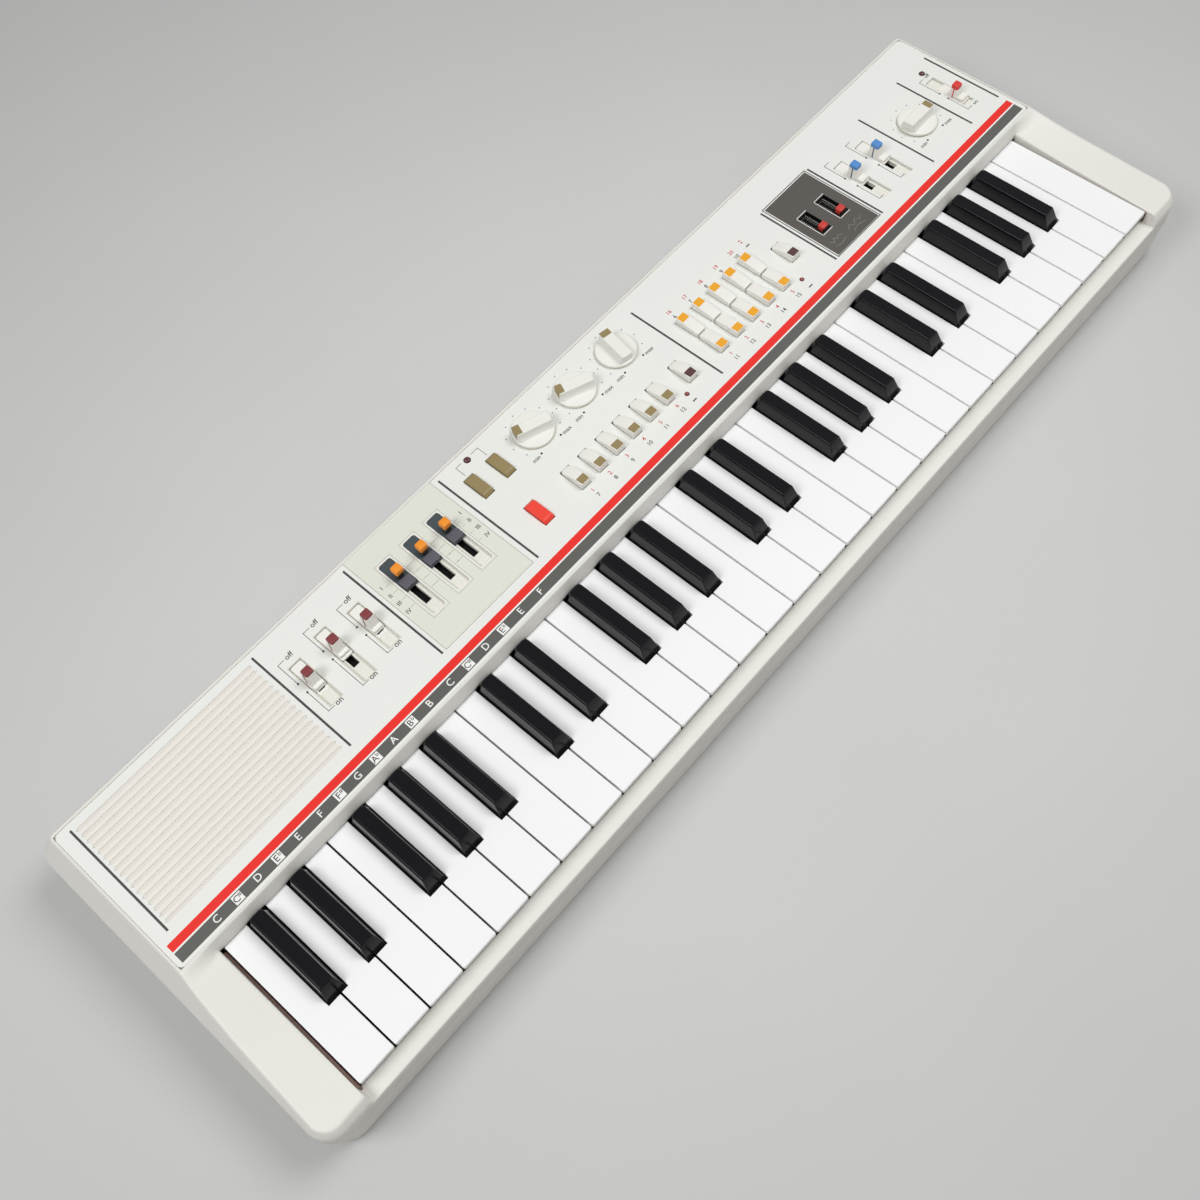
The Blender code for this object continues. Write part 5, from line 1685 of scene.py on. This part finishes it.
@dataclass
class Keys:
    """The white keys and the black keys, in millimetres."""

    frame: Frame
    pitch: float = 19.5
    count: int = 29
    octaves: int = 4
    black_half: float = 4.9
    black_top_half: float = 3.45
    black_height: float = 8.0
    black_skirt: float = 9.0
    black_front: Point = (31.9, 35.7)
    black_rear: Point = (79.9, 78.3)
    ridge: float = 0.9
    # Places of the black keys beside the joints of their white keys, by the note on their left
    black_offsets: tuple[tuple[int, float], ...] = ((0, -1.4), (1, 1.4), (3, -2.0), (4, 0.0), (5, 2.0))
    # A white key's front corners are narrowed from this reach by this share
    corner_reach: float = 1.55 * MM
    corner_share: float = 0.4

    def black_place(self, joint: int) -> float | None:
        """X of the black key over the right side of a white key.

        Args:
            joint: The white key, from 0 at the left.

        Returns:
            The place, or None where there is no black key.
        """
        offset = dict(self.black_offsets).get(joint % 7)
        if offset is None or not 0 <= joint < self.count - 1:
            return None
        return self.pitch * (joint + 1 - self.count / 2) + offset

    def letter_place(self, index: int) -> float:
        """X of the middle of a white key's part between the black keys.

        Args:
            index: The white key, from 0 at the left.

        Returns:
            The place.
        """
        left = self.pitch * (index - self.count / 2)
        right = left + self.pitch
        before = self.black_place(index - 1)
        after = self.black_place(index)
        left = left if before is None else before + self.black_half
        right = right if after is None else after - self.black_half
        return (left + right) / 2

    def build(self) -> None:
        """Builds every key."""
        for node in self.frame.nodes:
            if node.startswith("white_key_"):
                key = self.frame.copy_of(node, Finishes.WHITE_KEY)
                self.sharpen_corners(key)
                add_bevel(key, 0.3 * MM, 3)
                self.frame.settle(key, node, True)
        self.make_gap_shade_strips()
        for octave in range(self.octaves):
            self.make_octave(octave)
        LOG.info("%d white keys and %d sets of black keys", self.count, self.octaves)

    def sharpen_corners(self, key: bpy.types.Object) -> None:
        """Narrows the round front corners of a white key.

        Args:
            key: The copy of the key.
        """
        points = key.data.vertices
        left = min(point.co.x for point in points)
        right = max(point.co.x for point in points)
        front = min(point.co.y for point in points)
        for point in points:
            side = left if point.co.x - left < right - point.co.x else right
            if abs(point.co.x - side) < self.corner_reach and point.co.y - front < self.corner_reach:
                point.co.x = side + (point.co.x - side) * self.corner_share
                point.co.y = front + (point.co.y - front) * self.corner_share

    def make_gap_shade_strips(self) -> None:
        """Makes brown strips of painted shade at the sides of the key well, which stand for the shaded wall
        in the gaps beside the outer keys.
        """
        # Painted shade: brown strips fill the side gaps of the key well
        edge = self.pitch * self.count / 2
        levels = (self.frame.key_top - 8 * MM, self.frame.key_top - 2.2 * MM)
        shape = bmesh.new()
        for side in (-1, 1):
            across = sorted((side * (edge + 0.25), side * (edge + 1.6)))
            self.frame.add_block(shape, across, (-0.2, 80.0), levels)
        self.frame.add("well_side_gap_shade_strips", shape, Finishes.GAP_SHADE, "upper_case", bevel=(0.3 * MM,))

    def make_octave(self, octave: int) -> None:
        """Makes the five black keys of an octave on their hinge bar.

        Args:
            octave: The octave, from 0 at the left.
        """
        node = f"black_keys_octave_{octave + 1}"
        low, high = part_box(node)
        skirt = self.frame.key_top - self.black_skirt * MM
        keys = bmesh.new()
        bar = bmesh.new()
        add_box(bar, (low.x, high.y - 5 * MM, low.z), (high.x, high.y, low.z + 4 * MM))
        for note, _ in self.black_offsets:
            place = self.black_place(octave * 7 + note)
            self.add_black_key(keys, place)
            add_box(bar, (*self.frame.spot(place - 3.5, self.black_rear[1] - 1), skirt + 0.3 * MM),
                    ((place + 3.5) * MM, high.y - 0.3 * MM, self.frame.key_top - 3 * MM))
        add_flat_faces(self.frame.add(node + "_keys", keys, Finishes.BLACK_KEY, node, instead=True))
        self.frame.add(node + "_hinge_bar", bar, Finishes.BLACK_KEY, node)

    def add_black_key(self, shape: Shape, place: float) -> None:
        """Adds a black key with round ridges, a round rear end and a crisp sloped front.

        Args:
            shape: The mesh under construction.
            place: X of its middle.
        """
        levels = [(-self.black_skirt, 0.0), (0.0, 0.0), (self.black_height - self.ridge - 0.4, 0.0)]
        for step in range(7):
            turn = math.pi / 2 * step / 6
            levels.append((self.black_height - self.ridge * (1 - math.sin(turn)),
                           self.ridge * (1 - math.cos(turn))))
        rings = []
        for height, inset in levels:
            share = max(0.0, height) / self.black_height
            half = self.black_half + (self.black_top_half - self.black_half) * share - inset
            front = self.black_front[0] + (self.black_front[1] - self.black_front[0]) * share + 0.25 * inset
            rear = self.black_rear[0] + (self.black_rear[1] - self.black_rear[0]) * share - inset
            rings.append(self.black_outline(place, half, (front, rear), self.frame.key_top + height * MM))
        add_loft(shape, rings)

    def black_outline(self, place: float, half: float, ends: Point, height: float) -> list[Place]:
        """Outline of a black key: small corners in front, large ones at the rear.

        Args:
            place: X of its middle.
            half: Half its width.
            ends: Its front and rear end.
            height: The outline's height in metres.

        Returns:
            The outline's points in metres.
        """
        points = []
        for quarter, (side, end) in enumerate(((1, 1), (-1, 1), (-1, 0), (1, 0))):
            radius = 2.0 if end else 0.35
            center_x = place + side * (half - radius)
            center_y = ends[end] - radius if end else ends[end] + radius
            for step in range(7):
                turn = (quarter + step / 6) * math.pi / 2
                points.append(self.frame.spot(center_x + radius * math.cos(turn),
                                              center_y + radius * math.sin(turn)))
        return raised(points, height)


class Ink:
    """Everything printed in one colour, as one thin piece on the plate; places are in millimetres."""

    def __init__(self, frame: Frame, name: str, finish: Finishes, layer: int) -> None:
        """Starts an empty print.

        Args:
            frame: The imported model.
            name: The piece's name.
            finish: The ink.
            layer: How many prints lie under this one.
        """
        self.frame = frame
        self.name = name
        self.finish = finish
        self.low = frame.rise(0.002)
        self.high = frame.rise(0.02 + 0.015 * layer)
        self.shape = bmesh.new()

    def patch(self, outline: Iterable[Point]) -> None:
        """Prints what lies inside an outline."""
        add_prism(self.shape, [self.frame.spot(x, y) for x, y in outline], self.low, self.high)

    def area(self, left: float, right: float, front: float, rear: float) -> None:
        """Prints a rectangle."""
        self.patch(corners((left, right), (front, rear)))

    def border(self, left: float, right: float, front: float, rear: float, width: float) -> None:
        """Prints the outline of a rectangle.

        Args:
            left: Its left side.
            right: Its right side.
            front: Its front end.
            rear: Its rear end.
            width: The width of the line.
        """
        self.area(left, right, front, front + width)
        self.area(left, right, rear - width, rear)
        self.area(left, left + width, front + width, rear - width)
        self.area(right - width, right, front + width, rear - width)

    def line(self, points: Sequence[Point], width: float) -> None:
        """Prints a line of straight runs.

        Args:
            points: The points that it runs through.
            width: Its width.
        """
        for start, end in zip(points, points[1:]):
            along = (Vector(end) - Vector(start)).normalized() * width / 2
            side = Vector((-along.y, along.x))
            first = Vector(start) - along
            last = Vector(end) + along
            self.patch((first + side, first - side, last - side, last + side))

    def dot(self, x: float, y: float, radius: float) -> None:
        """Prints a dot."""
        self.patch(disc_outline(x, y, radius, 16))

    def wedge(self, x: float, y: float, size: float) -> None:
        """Prints a small triangle that points away from the keys."""
        self.patch(((x - size, y - size / 2), (x + size, y - size / 2), (x, y + size / 2)))

    def text(self, words: str, x: float, y: float, size: float, bold: float = 0.03) -> None:
        """Prints a word centred on a place.

        Args:
            words: The letters or numbers.
            x: The middle.
            y: The middle's distance behind the key fronts.
            size: The height of a capital.
            bold: How much the strokes are widened.
        """
        curve = bpy.data.curves.new("letters", "FONT")
        curve.body = words
        curve.align_x = "CENTER"
        curve.align_y = "CENTER"
        curve.size = size / 0.7
        curve.offset = bold
        curve.extrude = (self.high - self.low) / MM / 2
        curve.resolution_u = 3
        holder = link_object("letters", curve)
        flat = evaluated_mesh(holder)
        bpy.data.objects.remove(holder)
        place = Vector((*self.frame.spot(x, y), (self.low + self.high) / 2))
        flat.transform(Matrix.Translation(place) @ Matrix.Scale(MM, 4))
        letters = bmesh.new()
        letters.from_mesh(flat)
        bmesh.ops.remove_doubles(letters, verts=letters.verts, dist=0.0005 * MM)
        letters.to_mesh(flat)
        letters.free()
        self.shape.from_mesh(flat)
        bpy.data.meshes.remove(flat)

    def finish_print(self) -> None:
        """Makes the piece and lets it ride with the case."""
        self.frame.add(self.name, self.shape, self.finish, PANEL, 30)


@dataclass
class PanelPrint:
    """All that is printed on the panel plate."""

    frame: Frame
    stripe_half: float = 297.0
    note_names: str = "CDEFGAB"
    black_names: tuple[str, ...] = ("C#", "Eb", "", "F#", "Ab", "Bb")
    lettered_keys: int = 11
    # X, front and rear end
    separators: tuple[Place, ...] = (
        (-292.5, 100.2, 164.8), (-188.4, 100.7, 165.1), (-131.7, 100.7, 165.2), (-69.1, 100.7, 165.3),
        (63.1, 100.5, 159.4), (153.7, 100.5, 149.2), (192.7, 100.5, 149.1), (237.4, 100.5, 149.2),
        (272.0, 100.5, 149.3), (296.4, 100.5, 148.7),
    )
    # X of a bracket at the switches with words, and how much further it reaches
    brackets: tuple[Point, ...] = ((-183.5, 0.0), (-165.3, 3.0), (-147.3, 0.0))
    curves: tuple[tuple[Point, ...], ...] = (
        ((160.2, 109.6), (162.0, 107.6), (163.4, 110.2), (165.0, 108.0), (166.6, 110.0), (168.6, 108.2)),
        ((160.2, 105.6), (164.0, 104.6), (168.6, 105.8)),
        ((173.4, 107.2), (175.4, 109.4), (177.6, 106.8), (180.2, 109.6), (182.4, 107.4), (184.4, 108.8)),
        ((174.4, 104.8), (178.4, 105.8), (183.4, 104.6)),
    )

    def build(self) -> None:
        """Prints everything."""
        self.print_fields()
        self.print_ribs()
        self.print_stripes()
        self.print_lines()
        self.print_faint_marks()
        self.print_words()
        self.print_numbers()
        LOG.info("panel print")

    def print_fields(self) -> None:
        """Prints the cream field and the dark field with their marks."""
        cream = Ink(self.frame, "cream_field", Finishes.CREAM_FIELD, 0)
        sliders = sorted(control.x for control in SLIDES if control.looks is TabLooks.VARIATION)
        lefts = [-129.4] + [x + 3.95 for x in sliders]
        rights = [x - 3.95 for x in sliders] + [-72.2]
        for left, right in zip(lefts, rights):
            cream.area(left, right, 100.7, 168.3)
        for x in sliders:
            cream.area(x - 3.95, x + 3.95, 100.7, 117.0)
            cream.area(x - 3.95, x + 3.95, 154.0, 168.3)
        cream.finish_print()
        dark = Ink(self.frame, "dark_field", Finishes.INK_FIELD, 1)
        for left, right in ((156.6, 162.5), (169.5, 177.0), (184.0, 190.1)):
            dark.area(left, right, 101.2, 148.9)
        for left, right in ((162.5, 169.5), (177.0, 184.0)):
            dark.area(left, right, 101.2, 115.7)
            dark.area(left, right, 131.7, 148.9)
        dark.finish_print()
        border = Ink(self.frame, "dark_field_border", Finishes.INK_DARK, 1)
        border.border(155.5, 191.1, 100.5, 150.0, 0.5)
        border.finish_print()
        marks = Ink(self.frame, "dark_field_marks", Finishes.INK_WHITE, 2)
        for control in SLIDES:
            if control.looks is TabLooks.FIELD:
                left, right = control.x - 4.0, control.x + 3.6
                marks.line(((right, 115.1), (left, 115.1), (left, 132.4), (right, 132.4)), 0.35)
        marks.finish_print()
        curves = Ink(self.frame, "dark_field_curves", Finishes.INK_SILVER, 2)
        for curve in self.curves:
            curves.line(curve, 0.22)
        curves.finish_print()

    def print_ribs(self) -> None:
        """Prints the warm ribs between the slots of the grille."""
        size = (GRILLE.length, GRILLE.pitch - GRILLE.width - 0.1, 0.03)
        ribs = GRILLE.bars(self.frame, Finishes.RIB_INK, GRILLE.count - 1, size, 0.01)
        self.frame.add_mesh("warm_ribs", ribs, Finishes.RIB_INK, PANEL)

    def print_stripes(self) -> None:
        """Prints the red and the grey stripe with the notes of the left keys."""
        red = Ink(self.frame, "red_stripe", Finishes.INK_RED, 0)
        red.area(-self.stripe_half, self.stripe_half, 91.8, 95.8)
        red.finish_print()
        grey = Ink(self.frame, "grey_stripe", Finishes.INK_GREY, 0)
        grey.area(-self.stripe_half, self.stripe_half, 85.6, 91.0)
        grey.finish_print()
        white = Ink(self.frame, "white_stripe_marks", Finishes.INK_WHITE, 1)
        boxes = Ink(self.frame, "note_letters_on_boxes", Finishes.INK_DARK, 2)
        white.area(-self.stripe_half, self.stripe_half, 91.0, 91.7)
        keys = Keys(self.frame)
        for index in range(self.lettered_keys):
            white.text(self.note_names[index % 7], keys.letter_place(index), 88.3, 3.4)
            place = keys.black_place(index)
            if place is not None and index < self.lettered_keys - 1:
                letter, sign = self.black_names[index % 7]
                white.area(place - 2.3, place + 2.3, 86.1, 90.5)
                boxes.text(letter, place - 0.7, 88.2, 3.0)
                boxes.text(sign, place + 1.35, 89.2, 1.9, 0.02)
        white.finish_print()
        boxes.finish_print()

    def print_lines(self) -> None:
        """Prints the separators, the brackets at the switches and the lines at the lamp."""
        dark = Ink(self.frame, "dark_lines", Finishes.INK_DARK, 0)
        for x, front, rear in self.separators:
            dark.area(x - 0.55, x + 0.55, front, rear)
        for x, y in ((133.0, 141.1), (132.2, 100.3), (42.7, 101.1)):
            dark.area(x - 1.3, x + 1.3, y - 0.35, y + 0.35)
        dark.finish_print()
        thin = Ink(self.frame, "thin_lines", Finishes.INK_DARK, 1)
        for x, shift in self.brackets:
            self.bracket(thin, x, (153.1 + shift, 139.6 + shift),
                         (133.6 + shift * 0.96, 119.8 - shift * 0.93))
        for x in (199.6, 218.0):
            self.bracket(thin, x, (143.2, 129.6), (121.6, 107.6))
        self.bracket(thin, 279.3, (139.6, 126.4), (120.8, 108.0))
        thin.line(((-48.4, 163.7), (-43.9, 163.7), (-43.9, 157.4)), 0.25)
        thin.line(((-55.4, 163.7), (-58.75, 163.7), (-58.75, 157.4)), 0.25)
        thin.finish_print()

    def bracket(self, ink: Ink, x: float, rear: Point, front: Point) -> None:
        """Prints the two angled lines beside a switch, each with a dot.

        Args:
            ink: The ink.
            x: The place of the long lines.
            rear: Far end and dot of the rear line.
            front: Dot and far end of the front line.
        """
        ink.line(((x + 3.6, rear[0]), (x, rear[0]), (x, rear[1])), 0.28)
        ink.dot(x, rear[1], 0.55)
        ink.line(((x, front[0]), (x, front[1]), (x + 3.4, front[1])), 0.28)
        ink.dot(x, front[0], 0.55)

    def print_faint_marks(self) -> None:
        """Prints ticks, grey dots of painted shade at the ends of the grille's slots and the frames of the
        recesses.
        """
        faint = Ink(self.frame, "faint_marks", Finishes.INK_FAINT, 2)
        edges = Ink(self.frame, "beige_frames", Finishes.INK_BEIGE, 2)
        faint.border(-129.4, -72.2, 100.7, 168.4, 0.35)
        for control in SLIDES:
            x = control.x
            if control.looks is TabLooks.VARIATION:
                faint.border(x - 5.1, x + 5.1, 115.8, 155.2, 0.25)
                for y in (144.0, 139.0, 133.6, 128.0):
                    faint.area(x - 8.4, x - 5.4, y - 0.14, y + 0.14)
                    faint.area(x + 5.4, x + 7.6, y - 0.14, y + 0.14)
            elif control.looks is TabLooks.CHORD:
                edges.border(x - 3.95, x + 3.95, control.recess[0] - 0.4, control.recess[1] + 0.4, 0.3)
        # Painted shade: grey dots at both ends of each grille slot, where the slot ends lie deeper
        reach = GRILLE.length / 2 + 0.5
        for index in range(GRILLE.count):
            y = GRILLE.y + GRILLE.pitch * (index - (GRILLE.count - 1) / 2)
            faint.dot(GRILLE.x - reach, y, 0.25)
            faint.dot(GRILLE.x + reach, y, 0.25)
        faint.finish_print()
        edges.finish_print()

    def print_words(self) -> None:
        """Prints the numerals and the words at the switches and knobs."""
        dark = Ink(self.frame, "dark_words", Finishes.INK_DARK, 2)
        for numeral, y in zip(("I", "II", "III", "IV"), (145.0, 139.0, 133.3, 127.2)):
            dark.text(numeral, -126.6, y, 2.2)
            dark.text(numeral, -75.0, y, 2.2)
        for x, shift in self.brackets:
            dark.text("off", x + 6.6, 153.1 + shift, 2.7)
            dark.text("on", x + 6.3, 119.8 - shift * 0.93, 2.7)
        dark.text("off", 286.0, 139.6, 2.2, 0.02)
        dark.text("on", 285.8, 108.0, 2.2, 0.02)
        for knob in KNOBS:
            for word, degrees, aside in (("min", -120.0, -3.9), ("max", -60.0, 3.9)):
                turn = math.radians(degrees)
                reach = TickDots.radius
                dark.text(word, knob.x + reach * math.cos(turn) + aside,
                          knob.y + reach * math.sin(turn) - 0.4, 2.2, 0.02)
        dark.finish_print()

    def print_numbers(self) -> None:
        """Prints the numbers at the two rows of buttons."""
        rose = Ink(self.frame, "rose_words", Finishes.INK_ROSE, 2)
        second = Ink(self.frame, "second_words", Finishes.INK_DARK, 2)
        # The ink, the row, the first number and its distance
        for ink, places, first, y in (
                (rose, RHYTHM_X, 1, 105.4), (second, RHYTHM_X, 7, 101.6), (rose, TONE_X, 1, 105.0),
                (second, TONE_X, 11, 101.2), (second, TONE_X, 6, 140.8), (rose, TONE_X, 16, 144.8)):
            for index, x in enumerate(places):
                ink.text(str(index + first), x, y, 2.2)
        for x, y in ((132.5, 146.5), (132.5, 144.9)):
            rose.wedge(x, y, 0.9)
        rose.finish_print()
        second.finish_print()


class DotTree(Tree):
    """Dots on an arc about the origin, from a first angle on."""

    def __init__(self) -> None:
        """Builds the tree."""
        super().__init__("dots_on_an_arc", ("Radius", "First Angle", "Step Angle", "Dot Radius"),
                         counted=True)
        points = self.add("GeometryNodeMeshLine", {"Count": self.entry["Count"]})
        angle = self.add("ShaderNodeMath", {
            0: self.add("GeometryNodeInputIndex"), 1: self.entry["Step Angle"], 2: self.entry["First Angle"]},
            operation="MULTIPLY_ADD")
        place = self.add("ShaderNodeCombineXYZ")
        for axis, operation in (("X", "COSINE"), ("Y", "SINE")):
            wave = self.add("ShaderNodeMath", {0: angle}, operation=operation)
            scaled = self.add("ShaderNodeMath", {0: wave, 1: self.entry["Radius"]}, operation="MULTIPLY")
            self.fill(place, {axis: scaled})
        moved = self.add("GeometryNodeSetPosition", {"Geometry": points, "Position": place})
        disc = self.add("GeometryNodeMeshCylinder", {
            "Vertices": 16, "Depth": 0.04 * MM, "Radius": self.entry["Dot Radius"]})
        self.end(moved, disc, Finishes.INK_DARK)


@dataclass
class TickDots:
    """The ring of dots round each knob, in millimetres and degrees."""

    frame: Frame
    radius: float = 13.6
    # Number of dots, first angle, angle between dots and radius of a dot
    rings: tuple[tuple[int, float, float, float], ...] = ((11, -60.0, 30.0, 0.32), (2, -60.0, -60.0, 0.6))

    def build(self) -> None:
        """Builds a ring of dots round every knob, as one piece."""
        tree = DotTree()
        shape = bmesh.new()
        for knob in KNOBS:
            for count, first, step, size in self.rings:
                dots = tree.run({"Count": count, "Radius": self.radius * MM, "Dot Radius": size * MM,
                                 "First Angle": math.radians(first), "Step Angle": math.radians(step)})
                dots.transform(Matrix.Translation(self.frame.over(knob.x, knob.y, 0.002)))
                shape.from_mesh(dots)
                bpy.data.meshes.remove(dots)
        self.frame.add("knob_dots", shape, Finishes.INK_DARK, PANEL, 30)


@dataclass
class Inside:
    """The plate, chassis, board and loudspeaker."""

    frame: Frame
    board_top: float = 37.65 * MM
    cloth_radius: float = 27 * MM
    slat_height: float = 1.2
    slat_depth: float = 0.3
    groove: float = 0.29 * MM

    def build(self) -> None:
        """Gives each carried-over node its finish, and makes the board, grille, seal, lamps and cloth."""
        dressed = {PANEL: Finishes.PLATE, "key_chassis": Finishes.CHASSIS, "loudspeaker": Finishes.SPEAKER}
        for node, finish in dressed.items():
            mesh = self.frame.nodes[node].data
            mesh.materials.clear()
            mesh.materials.append(finish.material())
        self.make_board()
        size = (GRILLE.length - 0.04, GRILLE.width - 0.04, self.slat_height)
        middle = -self.slat_depth - self.slat_height / 2
        slats = GRILLE.bars(self.frame, Finishes.GROOVE, GRILLE.count, size, middle)
        self.frame.add_mesh("grille_slats", slats, Finishes.GROOVE, PANEL)
        self.make_seal()
        for lamp in LAMPS:
            self.make_lamp(lamp)
        low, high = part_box("loudspeaker")
        cloth = bmesh.new()
        add_prism(cloth, disc_outline(*((low + high) / 2).xy, self.cloth_radius, 48), high.z - 0.6 * MM,
                  high.z + 0.1 * MM)
        self.frame.add("speaker_cloth", cloth, Finishes.CLOTH, "loudspeaker")

    def make_board(self) -> None:
        """Makes the board green and the parts that stand on it black."""
        board = self.frame.copy_of("main_board", Finishes.BOARD)
        board.data.materials.append(Finishes.SLOT_BLACK.material())
        for face in board.data.polygons:
            if face.center.z > self.board_top:
                face.material_index = 1
        self.frame.settle(board, "main_board", True)

    def make_seal(self) -> None:
        """Fills the groove round the plate up to a little below its face."""
        low, high = self.frame.plate_low, self.frame.plate_high
        outer, inner = (rounded_outline((low.x - reach, low.y - reach), (high.x + reach, high.y + reach),
                                        0.05 * MM) for reach in (self.groove, 0.01 * MM))
        seal = bmesh.new()
        add_ring(seal, outer, inner, low.z, high.z - 0.08 * MM)
        self.frame.add("panel_seal", seal, Finishes.SHELL, PANEL)

    def make_lamp(self, lamp: Lamp) -> None:
        """Makes the domed top of a lamp.

        Args:
            lamp: The lamp.
        """
        levels = [(1.0, -1.0)]
        for step in range(6):
            turn = math.pi / 2 * step / 6
            levels.append((math.cos(turn), 0.2 + 0.6 * lamp.radius * math.sin(turn)))
        x, y = self.frame.spot(lamp.x, lamp.y)
        dome = bmesh.new()
        add_loft(dome, [raised(disc_outline(x, y, lamp.radius * share * MM), self.frame.rise(height))
                        for share, height in levels])
        self.frame.add(lamp.name, dome, lamp.finish, "main_board", 50)


def write_sizes(start: Sequence[Vector], end: Sequence[Vector]) -> None:
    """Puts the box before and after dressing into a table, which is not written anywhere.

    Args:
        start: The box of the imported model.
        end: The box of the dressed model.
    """
    sizes = {"cad": [list(corner) for corner in start], "dressed": [list(corner) for corner in end]}


def main() -> None:
    """Builds the studio and dresses every piece."""
    logging.basicConfig(level=logging.INFO, format="%(message)s")
    frame = Frame()
    Studio().build()
    for group in (UpperCase, LowerCase, Inside, Keys, SlideControls, Knobs, PushButtons, PanelPrint,
                  TickDots):
        group(frame).build()
    write_sizes(frame.start_bounds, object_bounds())


if __name__ == "__main__":
    main()
